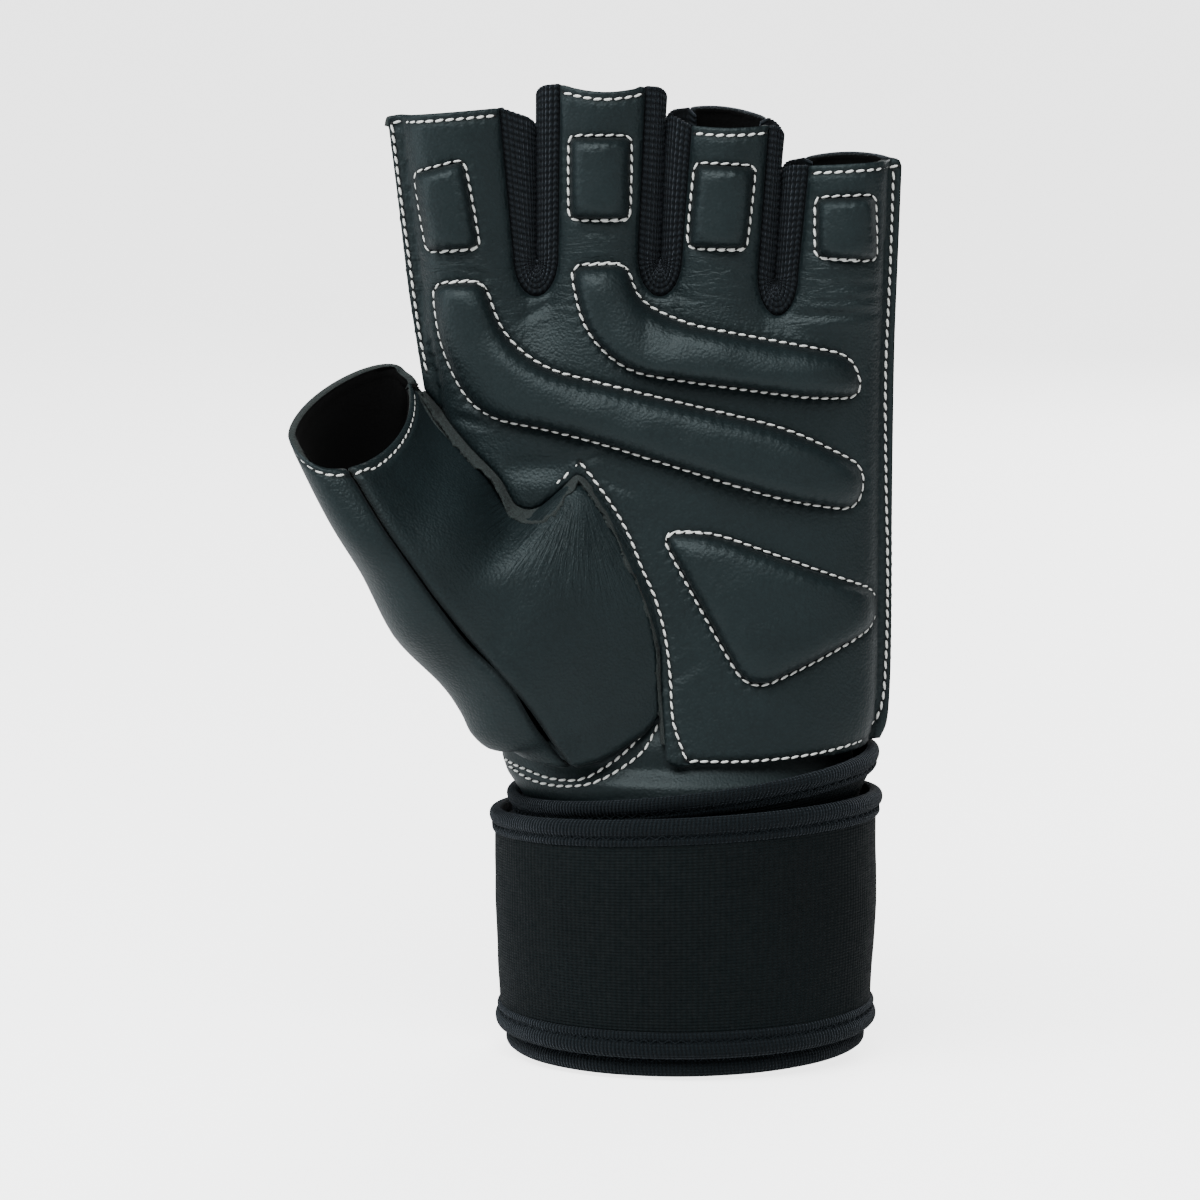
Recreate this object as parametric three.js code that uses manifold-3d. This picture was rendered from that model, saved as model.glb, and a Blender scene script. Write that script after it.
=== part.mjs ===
// A left-hand fingerless weightlifting glove with a wound wrist wrap, fingers up and palm towards -Y.
// Millimetres, +Z up. The origin is the centre of the cuff's lower opening, where the wrist goes in.
import * as THREE from "three";
import { mergeVertices } from "three/addons/utils/BufferGeometryUtils.js";
import Module from "manifold-3d";

const wasm = await Module();
wasm.setup();

// Driving dimensions
const handWidth = 98; // across the knuckles, seam to seam
const palmLength = 94; // wrist seam to the finger crotches
const fingerReach = 42; // crotch line to the rim of the longest stall
const palmDepth = 17; // side seam plane to the palm face
const backDepth = 14; // side seam plane to the back face
const stallDepth = 11; // side seam plane to the front of a finger stall
const leather = 1.4; // palm and thumb leather
const backing = 1.4; // fabric of the back
const knit = 1.5; // knitted finger sides
const gap = 0.3; // clearance between neighbouring pieces
const seamFlange = 3; // flat stitched margin at the outer side seams
const fingerPadHeight = 2.2;
const palmPadHeight = 3.4;
const padEdge = 0.7; // height of a pad at its stitched edge
const padShoulder = 5; // width over which a pad rises to its height
const strapWidth = 47;
const strapWall = 1.6;
const strapGap = 0.5; // clearance between two turns of the strap
const strapTurns = 2.95;
const bindingWidth = 5;
const wristHalfWidth = 30.5; // inside of the wrist band under the wrap
const wristHalfDepth = 21.5;
const wristSeam = 61.5; // height of the palm's hem line
const thumbLength = 62; // thumb crotch side to the thumb rim, across the picture plane
const thumbDepth = 13;

const crotch = wristSeam + palmLength;
const flangeFace = leather + gap / 2;
const clamp01 = (t) => Math.min(1, Math.max(0, t));
const mix = (a, b, t) => a + (b - a) * t;
const smooth = (t) => clamp01(t) * clamp01(t) * (3 - 2 * clamp01(t));

// Straight-line reading of a table: value of a column at a key.
function readTable(rows, key, at, column) {
  if (at <= rows[0][key]) return rows[0][column];
  for (let i = 1; i < rows.length; i++) {
    if (at <= rows[i][key]) {
      const share = (at - rows[i - 1][key]) / (rows[i][key] - rows[i - 1][key]);
      return mix(rows[i - 1][column], rows[i][column], share);
    }
  }
  return rows[rows.length - 1][column];
}

// Hand outline. up: share of palmLength above the wrist seam. left, right: shares of handWidth.
// palm, back: shares of palmDepth and backDepth at the middle of the hand.
const handOutline = [
  { up: -0.12, left: -0.36, right: 0.355, palm: 1.3, back: 1.5 },
  { up: 0, left: -0.4, right: 0.392, palm: 1.28, back: 1.42 },
  { up: 0.06, left: -0.41, right: 0.41, palm: 1.24, back: 1.35 },
  { up: 0.2, left: -0.43, right: 0.42, palm: 1.14, back: 1.15 },
  { up: 0.4, left: -0.46, right: 0.42, palm: 1.02, back: 1.02 },
  { up: 0.6, left: -0.5, right: 0.419, palm: 0.93, back: 0.96 },
  { up: 0.79, left: -0.541, right: 0.42, palm: 0.84, back: 0.92 },
  { up: 1, left: -0.576, right: 0.425, palm: 0.72, back: 0.84 },
  { up: 1.2, left: -0.602, right: 0.431, palm: 0.66, back: 0.78 },
  { up: 1.4, left: -0.618, right: 0.436, palm: 0.65, back: 0.76 },
];
const atUp = (z) => (z - wristSeam) / palmLength;
const outlineLeft = (z) => handWidth * readTable(handOutline, "up", atUp(z), "left");
const outlineRight = (z) => handWidth * readTable(handOutline, "up", atUp(z), "right");

// Finger stalls. Root and tip places of the leather's two edges as shares of handWidth, rims as shares
// of fingerReach above the crotch line, longer: extra height of the back rim as a share of fingerReach.
const stalls = [
  { rootLeft: -0.576, rootRight: -0.35, tipLeft: -0.618, tipRight: -0.386,
    rimLeft: 0.845, rimRight: 0.888, dip: 0, longer: -0.08 },
  { rootLeft: -0.272, rootRight: -0.108, tipLeft: -0.267, tipRight: -0.089,
    rimLeft: 1.0, rimRight: 0.99, dip: 0.03, longer: -0.06 },
  { rootLeft: -0.025, rootRight: 0.137, tipLeft: 0, tipRight: 0.161,
    rimLeft: 0.815, rimRight: 0.815, dip: 0.01, longer: 0.05 },
  { rootLeft: 0.213, rootRight: 0.425, tipLeft: 0.238, tipRight: 0.436,
    rimLeft: 0.625, rimRight: 0.655, dip: 0, longer: -0.01 },
];
// Crotches between neighbouring stalls: slit at the rim and at the bottom as shares of handWidth,
// drop below the crotch line as a share of fingerReach.
const crotches = [
  { slitTip: -0.314, slitRoot: -0.314, drop: 0 },
  { slitTip: -0.047, slitRoot: -0.063, drop: 0 },
  { slitTip: 0.198, slitRoot: 0.171, drop: 0.09 },
];
const crotchRise = 8; // height of the rounded lower end of a knitted side
const slitRise = 6.5; // how much higher the slit between two stalls ends
const slitHalf = 0.5;
const sideDip = 1.8; // how much a knitted rim sinks towards the slit

const stallEdge = (stall, side, z) => {
  const up = clamp01((z - crotch) / (fingerReach * stall["rim" + side]));
  return handWidth * mix(stall["root" + side], stall["tip" + side], up);
};
const rimHeight = (stall, side) => crotch + fingerReach * stall["rim" + side];
const backRim = (stall, side) => rimHeight(stall, side) + fingerReach * stall.longer;

// Superellipse shoulder that falls to the seam flange at the outer sides.
const shoulder = (s) => Math.pow(Math.max(0, 1 - Math.pow(Math.min(1, Math.abs(s)), 2.5)), 1 / 2.5);

// Distance from the side seam plane to the outer face over the palm or the back. Below the thumb's web
// the thumb side has no flange and rounds on outwards.
const roundOut = 4;
const webHeight = crotch - palmLength * 0.2;
const roundedBelow = webHeight - palmLength * 0.32;
function handFace(x, z, depth, column) {
  const flangeShare = smooth((z - roundedBelow) / (webHeight - roundedBelow));
  const left = outlineLeft(z) + mix(-roundOut, seamFlange, flangeShare);
  const right = outlineRight(z) - seamFlange;
  const middle = (left + right) / 2;
  const s = (x - middle) / ((right - left) / 2);
  const full = depth * readTable(handOutline, "up", atUp(z), column);
  return flangeFace + (full - flangeFace) * shoulder(s);
}

const edgeFall = 0.24; // share of a stall's depth that its leather falls by at the knitted sides
// The same over the finger stalls: each one is crowned, and the outer ones fall to the flange.
function stallFace(x, z, depth) {
  let nearest = 0;
  stalls.forEach((stall, i) => {
    if (i > 0) {
      const slit = (stallEdge(stalls[i - 1], "Right", z) + stallEdge(stall, "Left", z)) / 2;
      if (x > slit) nearest = i;
    }
  });
  const stall = stalls[nearest];
  const last = stalls.length - 1;
  const left = stallEdge(stall, "Left", z) + (nearest === 0 ? seamFlange : 0);
  const right = stallEdge(stall, "Right", z) - (nearest === last ? seamFlange : 0);
  const middle = (left + right) / 2;
  const s = (x - middle) / ((right - left) / 2);
  const toSeam = (nearest === 0 && s < 0) || (nearest === last && s > 0);
  if (toSeam) return flangeFace + (depth - flangeFace) * shoulder(s);
  return depth * (1 - edgeFall * Math.min(s * s, 1.4));
}

// The whole front or back face: palm below, stalls above, eased into each other at the knuckles.
const knuckleBelow = 16;
const knuckleAbove = 6;
function outerFace(x, z, isPalm) {
  const column = isPalm ? "palm" : "back";
  const onHand = handFace(x, z, isPalm ? palmDepth : backDepth, column);
  const onStall = stallFace(x, z, stallDepth * (isPalm ? 1 : 0.95));
  return mix(onHand, onStall, smooth((z - crotch + knuckleBelow) / (knuckleBelow + knuckleAbove)));
}

// Closed mesh between an outer and an inner grid of points. around: the grid closes on itself.
function wallBetween(outer, inner, around = false) {
  const rows = outer.length;
  const columns = outer[0].length;
  const points = [...outer.flat(), ...inner.flat()];
  const at = (layer, i, j) => layer * rows * columns + (i % rows) * columns + j;
  const faces = [];
  const quad = (a, b, c, d) => faces.push(a, b, c, a, c, d);
  const lastRow = around ? rows : rows - 1;
  for (let i = 0; i < lastRow; i++) {
    for (let j = 0; j < columns - 1; j++) {
      quad(at(0, i, j), at(0, i + 1, j), at(0, i + 1, j + 1), at(0, i, j + 1));
      quad(at(1, i, j), at(1, i, j + 1), at(1, i + 1, j + 1), at(1, i + 1, j));
    }
    const end = columns - 1;
    quad(at(0, i, 0), at(1, i, 0), at(1, i + 1, 0), at(0, i + 1, 0));
    quad(at(0, i, end), at(0, i + 1, end), at(1, i + 1, end), at(1, i, end));
  }
  if (!around) {
    const end = rows - 1;
    for (let j = 0; j < columns - 1; j++) {
      quad(at(0, 0, j), at(0, 0, j + 1), at(1, 0, j + 1), at(1, 0, j));
      quad(at(0, end, j), at(1, end, j), at(1, end, j + 1), at(0, end, j + 1));
    }
  }
  const geometry = new THREE.BufferGeometry();
  geometry.setAttribute("position", new THREE.Float32BufferAttribute(points.flatMap((p) => p.toArray()), 3));
  geometry.setIndex(faces);
  return facingOut(geometry);
}

// Turns every face round if the mesh is inside out.
function facingOut(geometry) {
  const p = geometry.getAttribute("position");
  const index = geometry.getIndex();
  const [a, b, c] = [new THREE.Vector3(), new THREE.Vector3(), new THREE.Vector3()];
  let volume = 0;
  for (let i = 0; i < index.count; i += 3) {
    a.fromBufferAttribute(p, index.getX(i));
    b.fromBufferAttribute(p, index.getX(i + 1));
    c.fromBufferAttribute(p, index.getX(i + 2));
    volume += a.dot(b.cross(c));
  }
  if (volume < 0) index.array.reverse();
  return geometry;
}

function toSolid(geometry) {
  const bare = new THREE.BufferGeometry();
  bare.setAttribute("position", geometry.getAttribute("position"));
  if (geometry.index) bare.setIndex(geometry.index);
  const merged = mergeVertices(bare, 1e-4);
  const vertProperties = new Float32Array(merged.getAttribute("position").array);
  return new wasm.Manifold(
    new wasm.Mesh({ numProp: 3, vertProperties, triVerts: new Uint32Array(merged.index.array) }),
  );
}

function toGeometry(solid) {
  const mesh = solid.getMesh();
  const geometry = new THREE.BufferGeometry();
  geometry.setAttribute("position", new THREE.BufferAttribute(new Float32Array(mesh.vertProperties), 3));
  geometry.setIndex(new THREE.BufferAttribute(new Uint32Array(mesh.triVerts), 1));
  geometry.computeVertexNormals();
  return geometry;
}

// Prism along Y over an outline of [x, z] points.
const prismReach = 120;
function prism(outline) {
  const shape = new THREE.Shape(outline.map(([x, z]) => new THREE.Vector2(x, z)));
  const geometry = new THREE.ExtrudeGeometry(shape, { depth: 2 * prismReach, bevelEnabled: false });
  geometry.rotateX(Math.PI / 2).translate(0, prismReach, 0);
  return toSolid(geometry);
}

// Evenly spaced values from a to b.
const spread = (a, b, count) => Array.from({ length: count + 1 }, (_, i) => mix(a, b, i / count));

// Slab under a face: side -1 is the palm side and 1 the back. face(x, z) is the outer distance from the
// side seam plane. Its inner face lies thickness further in, measured square to the face.
function slab(face, thickness, side) {
  const step = 0.4;
  const least = gap / 2;
  const outer = faceColumns.map((share) => faceRows.map((z) => {
    const x = columnX(share, z);
    return new THREE.Vector3(x, side * face(x, z), z);
  }));
  const inner = outer.map((column) => column.map(({ x, y, z }) => {
    const slopeX = (face(x + step, z) - face(x - step, z)) / (2 * step);
    const slopeZ = (face(x, z + step) - face(x, z - step)) / (2 * step);
    const inward = new THREE.Vector3(slopeX, -side, slopeZ).normalize();
    const moved = new THREE.Vector3(x, y, z).addScaledVector(inward, thickness);
    moved.y = side * Math.max(least, side * moved.y);
    return moved;
  }));
  return toSolid(wallBetween(outer, inner));
}

// Front edge of a knitted side, as [x, z] points from one rim round the crotch to the next rim, and the
// matching points along the slit. clear moves the edge outwards from the knit.
const sideSteps = 4;
const arcSteps = 8;
function crotchPath(i, clear, back) {
  const [a, b, c] = [stalls[i], stalls[i + 1], crotches[i]];
  const low = crotch - fingerReach * c.drop - clear;
  const arcTop = low + crotchRise + clear;
  const slitLow = low + clear + slitRise + slitHalf;
  const rim = back ? backRim : rimHeight;
  const slitX = (z) => handWidth * mix(c.slitRoot, c.slitTip, clamp01((z - crotch) / fingerReach));
  const edge = [];
  const slit = [];
  const addSide = (stall, side, way, share) => {
    const z = mix(arcTop, rim(stall, side), share);
    const slitZ = mix(slitLow, rim(stall, side) - sideDip, share);
    edge.push([stallEdge(stall, side, z) - way * clear, z]);
    slit.push([slitX(slitZ) - way * slitHalf, slitZ]);
  };
  for (let k = 0; k < sideSteps; k++) addSide(a, "Right", 1, 1 - k / sideSteps);
  const leftX = stallEdge(a, "Right", arcTop) - clear;
  const rightX = stallEdge(b, "Left", arcTop) + clear;
  for (let k = 0; k <= arcSteps; k++) {
    const turn = (Math.PI * k) / arcSteps;
    const along = (1 - Math.cos(turn)) / 2;
    edge.push([mix(leftX, rightX, along), arcTop - (arcTop - low) * Math.sin(turn)]);
    slit.push([slitX(slitLow) - slitHalf * Math.cos(turn), slitLow - slitHalf * Math.sin(turn)]);
  }
  for (let k = 1; k <= sideSteps; k++) addSide(b, "Left", -1, k / sideSteps);
  return { edge, slit };
}

// Rim of a stall between its two edges, sinking a little in the middle.
function rimLine(stall, back) {
  const rim = back ? backRim : rimHeight;
  return [0.25, 0.5, 0.75].map((t) => [
    handWidth * mix(stall.tipLeft, stall.tipRight, t),
    mix(rim(stall, "Left"), rim(stall, "Right"), t) - fingerReach * stall.dip * Math.sin(Math.PI * t),
  ]);
}

// Finger side of a panel's outline, from the left side seam over the four stalls to the right one.
function stallOutline(back) {
  const rim = back ? backRim : rimHeight;
  const points = [[handWidth * stalls[0].tipLeft, rim(stalls[0], "Left")]];
  stalls.forEach((stall, i) => {
    points.push(...rimLine(stall, back));
    if (i < crotches.length) points.push(...crotchPath(i, gap, back).edge);
  });
  const last = stalls[stalls.length - 1];
  points.push([handWidth * last.tipRight, rim(last, "Right")]);
  return points;
}

// Thumb hole in the palm, from the side seam down to the hem: x as a share of handWidth, up as a share
// of palmLength above the wrist seam.
const thumbHole = [
  { x: -0.545, up: 0.79 },
  { x: -0.457, up: 0.685 },
  { x: -0.387, up: 0.612 },
  { x: -0.352, up: 0.556 },
  { x: -0.316, up: 0.556 },
  { x: -0.267, up: 0.604 },
  { x: -0.229, up: 0.645 },
  { x: -0.175, up: 0.56 },
  { x: -0.127, up: 0.479 },
  { x: -0.084, up: 0.361 },
  { x: -0.063, up: 0.264 },
  { x: -0.059, up: 0.176 },
  { x: -0.051, up: 0.055 },
  { x: -0.025, up: 0.01 },
];
const holePoint = ({ x, up }) => [handWidth * x, wristSeam + palmLength * up];

function palmOutline() {
  const side = handOutline.filter((row) => row.up > 0.03 && row.up < 1.1).reverse();
  const right = side.map((row) => [handWidth * row.right, wristSeam + palmLength * row.up]);
  const hem = [
    [handWidth * 0.394, wristSeam + palmLength * 0.03],
    [handWidth * 0.2, wristSeam + palmLength * 0.018],
  ];
  return [...stallOutline(false), ...right, ...hem, ...thumbHole.map(holePoint).reverse(),
    ...side.filter((row) => row.up > 0.8).reverse().map((row) => [handWidth * row.left, wristSeam + palmLength * row.up])];
}

// Columns of a face from the thumb side to the little-finger side, as shares of the width at each height.
const faceColumns = [
  0, 0.034, 0.045, 0.075, 0.12, 0.17, 0.22, 0.26, 0.3, 0.34, 0.39, 0.44, 0.49, 0.53, 0.57, 0.62, 0.67,
  0.72, 0.755, 0.79, 0.83, 0.88, 0.925, 0.955, 0.966, 1,
];
const faceMargin = 0.5;
const columnX = (share, z) => mix(outlineLeft(z) - faceMargin, outlineRight(z) + faceMargin, share);
const palmTop = crotch + fingerReach * 1.12;
const faceRows = [
  ...spread(wristSeam - 6, crotch - 22, 9),
  ...spread(crotch - 15, crotch + 8, 4),
  ...spread(crotch + 20, palmTop, 2),
];

const palmFace = (x, z) => outerFace(x, z, true);
const palmPanel = slab(palmFace, leather, -1).intersect(prism(palmOutline()));

// Back panel: plain, with the same finger side and a long seam to the thumb.
const thumbSeam = [
  { x: -0.545, up: 0.79 },
  { x: -0.52, up: 0.68 },
  { x: -0.475, up: 0.5 },
  { x: -0.42, up: 0.28 },
  { x: -0.36, up: 0.03 },
];
function backOutline() {
  const side = handOutline.filter((row) => row.up > 0.03 && row.up < 1.1).reverse();
  const right = side.map((row) => [handWidth * row.right, wristSeam + palmLength * row.up]);
  const left = side.filter((row) => row.up > 0.8).reverse()
    .map((row) => [handWidth * row.left, wristSeam + palmLength * row.up]);
  const hem = [handWidth * 0.394, wristSeam + palmLength * 0.03];
  return [...stallOutline(true), ...right, hem, ...thumbSeam.map(holePoint).reverse(), ...left];
}
const backFace = (x, z) => outerFace(x, z, false);
const backPanel = slab(backFace, backing, 1).intersect(prism(backOutline()));

// Knitted finger side: half-ellipses from the palm leather's edge over the slit to the back's edge.
const acrossSteps = 4;
function fourchette(i) {
  const front = crotchPath(i, 0, false);
  const rear = crotchPath(i, 0, true);
  const away = front.edge.map(([x, z], k) => {
    const d = new THREE.Vector2(x - front.slit[k][0], z - front.slit[k][1]).normalize();
    return [d.x, d.y];
  });
  const layer = (inset) => front.edge.map(([x, z], k) => {
    const slit = front.slit[k];
    const row = [];
    for (let j = 0; j <= acrossSteps; j++) {
      const turn = (Math.PI * j) / acrossSteps;
      const bulge = Math.sin(turn);
      const onBack = turn > Math.PI / 2;
      const edge = onBack ? rear.edge[k] : [x, z];
      const deep = onBack
        ? outerFace(edge[0], edge[1], false) - inset
        : outerFace(x, z, true) - inset;
      row.push(new THREE.Vector3(
        mix(edge[0], slit[0] + away[k][0] * inset, bulge),
        -deep * Math.cos(turn),
        mix(edge[1], slit[1] + away[k][1] * inset, bulge),
      ));
    }
    return row;
  });
  return toSolid(wallBetween(layer(0), layer(knit)));
}

// Pad: rises from its stitched edge to its height over its shoulder, on top of the palm leather.
function edgeDistance(outline, x, z) {
  let best = Infinity;
  outline.forEach(([ax, az], i) => {
    const [bx, bz] = outline[(i + 1) % outline.length];
    const along = clamp01(((x - ax) * (bx - ax) + (z - az) * (bz - az)) / ((bx - ax) ** 2 + (bz - az) ** 2));
    best = Math.min(best, Math.hypot(x - mix(ax, bx, along), z - mix(az, bz, along)));
  });
  return best;
}
const padLift = 1.5 * gap;
const underPads = slab((x, z) => palmFace(x, z) + padLift, palmDepth * 2, -1);
function pad(outline, height, step) {
  const xs = outline.map((p) => p[0]);
  const zs = outline.map((p) => p[1]);
  const [x0, x1, z0, z1] = [Math.min(...xs), Math.max(...xs), Math.min(...zs), Math.max(...zs)];
  const columns = spread(x0 - 1, x1 + 1, Math.ceil((x1 - x0) / step));
  const rows = spread(z0 - 1, z1 + 1, Math.ceil((z1 - z0) / step));
  const over = (x, z) => {
    const inside = clamp01(edgeDistance(outline, x, z) / padShoulder);
    return palmFace(x, z) + padLift + padEdge + (height - padEdge) * Math.sqrt(1 - (1 - inside) ** 2);
  };
  const grid = (face) => columns.map((x) => rows.map((z) => new THREE.Vector3(x, -face(x, z), z)));
  const block = toSolid(wallBetween(grid(over), grid(() => leather)));
  return block.intersect(prism(outline)).subtract(underPads);
}

// Rounded outline through a closed list of corners, each with its own corner radius.
function rounded(corners) {
  const points = [];
  corners.forEach(({ x, up, radius }, i) => {
    const here = new THREE.Vector2(...holePoint({ x, up }));
    const before = new THREE.Vector2(...holePoint(corners[(i + corners.length - 1) % corners.length]));
    const after = new THREE.Vector2(...holePoint(corners[(i + 1) % corners.length]));
    const reach = Math.min(radius, here.distanceTo(before) * 0.48, here.distanceTo(after) * 0.48);
    const start = here.clone().add(before.sub(here).setLength(reach));
    const end = here.clone().add(after.sub(here).setLength(reach));
    for (const t of [0, 0.33, 0.67, 1]) {
      const p = start.clone().lerp(here, t).lerp(here.clone().lerp(end, t), t);
      points.push([p.x, p.y]);
    }
  });
  return points;
}

// Pad corners: x as shares of handWidth, up as shares of palmLength above the wrist seam, radius in mm.
const padCorners = {
  finger_pad_index: [
    { x: -0.562, up: 1.257, radius: 3 }, { x: -0.462, up: 1.285, radius: 3 },
    { x: -0.43, up: 1.104, radius: 3 }, { x: -0.537, up: 1.095, radius: 3 },
  ],
  finger_pad_middle: [
    { x: -0.245, up: 1.335, radius: 3 }, { x: -0.122, up: 1.335, radius: 3 },
    { x: -0.125, up: 1.163, radius: 3 }, { x: -0.245, up: 1.165, radius: 3 },
  ],
  finger_pad_ring: [
    { x: 0.01, up: 1.278, radius: 3 }, { x: 0.13, up: 1.272, radius: 3 },
    { x: 0.112, up: 1.1, radius: 3 }, { x: -0.005, up: 1.105, radius: 3 },
  ],
  finger_pad_little: [
    { x: 0.255, up: 1.205, radius: 3 }, { x: 0.375, up: 1.21, radius: 3 },
    { x: 0.38, up: 1.077, radius: 3 }, { x: 0.256, up: 1.084, radius: 3 },
  ],
  palm_bar_upper: [
    { x: -0.243, up: 1.062, radius: 3 }, { x: -0.132, up: 1.068, radius: 3 },
    { x: -0.106, up: 0.985, radius: 12 }, { x: -0.015, up: 0.94, radius: 14 },
    { x: 0.33, up: 0.87, radius: 10 }, { x: 0.355, up: 0.785, radius: 10 },
    { x: 0.25, up: 0.787, radius: 12 }, { x: -0.13, up: 0.845, radius: 16 },
    { x: -0.215, up: 0.93, radius: 14 },
  ],
  palm_bar_lower: [
    { x: -0.525, up: 1.022, radius: 3 }, { x: -0.423, up: 1.032, radius: 3 },
    { x: -0.385, up: 0.915, radius: 12 }, { x: -0.3, up: 0.845, radius: 14 },
    { x: 0.21, up: 0.715, radius: 16 }, { x: 0.36, up: 0.63, radius: 10 },
    { x: 0.345, up: 0.545, radius: 8 }, { x: 0.2, up: 0.57, radius: 10 },
    { x: -0.23, up: 0.71, radius: 16 }, { x: -0.44, up: 0.75, radius: 16 },
    { x: -0.51, up: 0.885, radius: 14 },
  ],
  heel_pad: [
    { x: -0.059, up: 0.502, radius: 4 }, { x: 0.045, up: 0.5, radius: 8 },
    { x: 0.385, up: 0.365, radius: 6 }, { x: 0.385, up: 0.293, radius: 5 },
    { x: 0.121, up: 0.164, radius: 6 },
  ],
};

// Thumb rings from the rim to the hem. right: where the ring leaves the palm, left: its outer silhouette,
// both as x in shares of handWidth, height in shares of palmLength above the wrist seam and depth in
// shares of thumbDepth. A ring is part of an ellipse whose long axis ends at left. start: the turn on it
// where the ring leaves the palm. front: its half axis towards the viewer in shares of thumbDepth, and
// rear the same behind the rim. seam: where the ring ends on the back panel's thumb seam, as a share of
// palmLength. parting: the turn at which the thumb's two leathers meet.
const thumbRings = [
  { right: [-0.572, 0.812, -0.3], left: [-0.812, 0.727, -2.3], front: [0.3, -1.15, -0.7],
    rear: [0, -1, -0.45], start: 0, parting: 0.29 },
  { right: [-0.515, 0.715, -0.6], left: [-0.735, 0.55, -2.0], front: [0.4, -1.64, -0.77],
    seam: 0.76, start: 0.06, parting: 0.287 },
  { right: [-0.437, 0.641, -1.0], left: [-0.68, 0.45, -1.6], front: [0.3, -1.87, -0.65],
    seam: 0.69, start: 0.09, parting: 0.295 },
  { right: [-0.337, 0.538, -1.2], left: [-0.614, 0.316, -1.2], front: [0, -2.15, -0.54],
    seam: 0.6, start: 0.12, parting: 0.298 },
  { right: [-0.235, 0.61, -1.26], left: [-0.531, 0.196, -0.85], front: [-0.1, -2.05, -0.76],
    seam: 0.49, start: 0.13, parting: 0.312 },
  { right: [-0.167, 0.525, -1.32], left: [-0.49, 0.143, -0.7], front: [-0.3, -2.23, -0.96],
    seam: 0.4, start: 0.14, parting: 0.304 },
  { right: [-0.113, 0.415, -1.4], left: [-0.465, 0.11, -0.54], front: [-0.55, -2.18, -1.22],
    seam: 0.31, start: 0.14, parting: 0.284 },
  { right: [-0.084, 0.32, -1.44], left: [-0.439, 0.072, -0.4], front: [-0.6, -1.86, -1.18],
    seam: 0.22, start: 0.13, parting: 0.268 },
  { right: [-0.07, 0.2, -1.5], left: [-0.416, 0.04, -0.23], front: [-0.5, -1.43, -0.74],
    seam: 0.125, start: 0.11, parting: 0.256 },
  { right: [-0.072, 0.118, -1.55], left: [-0.414, 0.031, -0.15], front: [-0.35, -1.19, -0.67],
    seam: 0.035, start: 0.09, parting: 0.236 },
];
const thumbRoot = new THREE.Vector3(handWidth * -0.337, 0, wristSeam + palmLength * 0.4);
const thumbStretch = thumbLength / 62;
function ringSide([x, up, deep]) {
  const place = new THREE.Vector3(handWidth * x, deep * thumbDepth, wristSeam + palmLength * up);
  return place.sub(thumbRoot).multiply(new THREE.Vector3(thumbStretch, 1, thumbStretch)).add(thumbRoot);
}

// Point of a ring: turn 0.5 is the outer silhouette and 1 the seam behind.
function thumbPoint(ring, turn, inset) {
  const right = ringSide(ring.right);
  const left = ringSide(ring.left);
  const startAngle = Math.PI * 2 * ring.start;
  const angle = Math.PI * 2 * turn;
  const behind = turn > 0.5;
  const front = new THREE.Vector3(...(behind && ring.rear ? ring.rear : ring.front)).multiplyScalar(thumbDepth);
  const half = right.clone().sub(left);
  half.addScaledVector(front, -Math.sin(startAngle)).divideScalar(1 + Math.cos(startAngle));
  const centre = left.clone().add(half);
  half.setLength(half.length() - inset);
  if (!behind || ring.rear) {
    front.setLength(front.length() - inset);
    return centre.addScaledVector(half, Math.cos(angle)).addScaledVector(front, Math.sin(angle));
  }
  const seamX = handWidth * readTable([...thumbSeam].reverse(), "up", ring.seam, "x") - 2 * gap;
  const seamZ = wristSeam + palmLength * ring.seam;
  const side = centre.clone().sub(half);
  const swing = Math.PI * (turn - 0.5);
  return new THREE.Vector3(
    mix(side.x, seamX, 1 - Math.cos(swing)),
    mix(side.y, backFace(seamX + 2 * gap, seamZ) - inset, Math.sin(swing)),
    mix(side.z, seamZ, 1 - Math.cos(swing)),
  );
}

// One leather of the thumb between two turns, given for each ring.
function thumbPiece(from, to, steps) {
  const layer = (inset) => thumbRings.map((ring) =>
    spread(from(ring), to(ring), steps).map((turn) => thumbPoint(ring, turn, inset)));
  return toSolid(wallBetween(layer(0), layer(leather)));
}
const partingShare = 0.003; // half the opening between the two leathers, as a share of a ring
const thumbFront = thumbPiece((ring) => ring.start + 0.012, (ring) => ring.parting - partingShare, 9);
const thumbBack = thumbPiece((ring) => ring.parting + partingShare, () => 0.985, 13);

// Elliptical ring section of the cuff at an angle; 0 is +X, a quarter turn is the back.
const cuffPoint = (halfWidth, halfDepth, angle, z) =>
  new THREE.Vector3(halfWidth * Math.cos(angle), halfDepth * Math.sin(angle), z);

// Wrist band: leather ring from under the palm's hem to inside the wrap. z in mm above the cuff's edge,
// left, right: outer half-widths, front and back: outer half-depths, over the inside of the wrist.
const bandSections = [
  { z: 0.6 * wristSeam, left: 0, right: 0, front: 0, back: 0 },
  { z: 0.77 * wristSeam, left: 0.2, right: 0, front: 0, back: 0 },
  { z: 0.87 * wristSeam, left: 1.9, right: 1.1, front: 0, back: 0 },
  { z: 0.945 * wristSeam, left: 5, right: 2, front: -0.8, back: -2 },
  { z: 0.995 * wristSeam, left: 6, right: 1.6, front: -3.4, back: -5.5 },
  { z: 1.07 * wristSeam, left: 6, right: 1.6, front: -3.6, back: -5.5 },
];
const bandSteps = 36;
function wristBand() {
  const layer = (grow) => Array.from({ length: bandSteps }, (_, i) => {
    const angle = (2 * Math.PI * i) / bandSteps;
    return bandSections.map((row) => {
      const wide = wristHalfWidth + grow + (Math.cos(angle) < 0 ? row.left : row.right);
      const deep = wristHalfDepth + grow + (Math.sin(angle) < 0 ? row.front : row.back);
      return cuffPoint(wide, deep, angle, row.z);
    });
  });
  return toSolid(wallBetween(layer(leather), layer(0), true));
}

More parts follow.
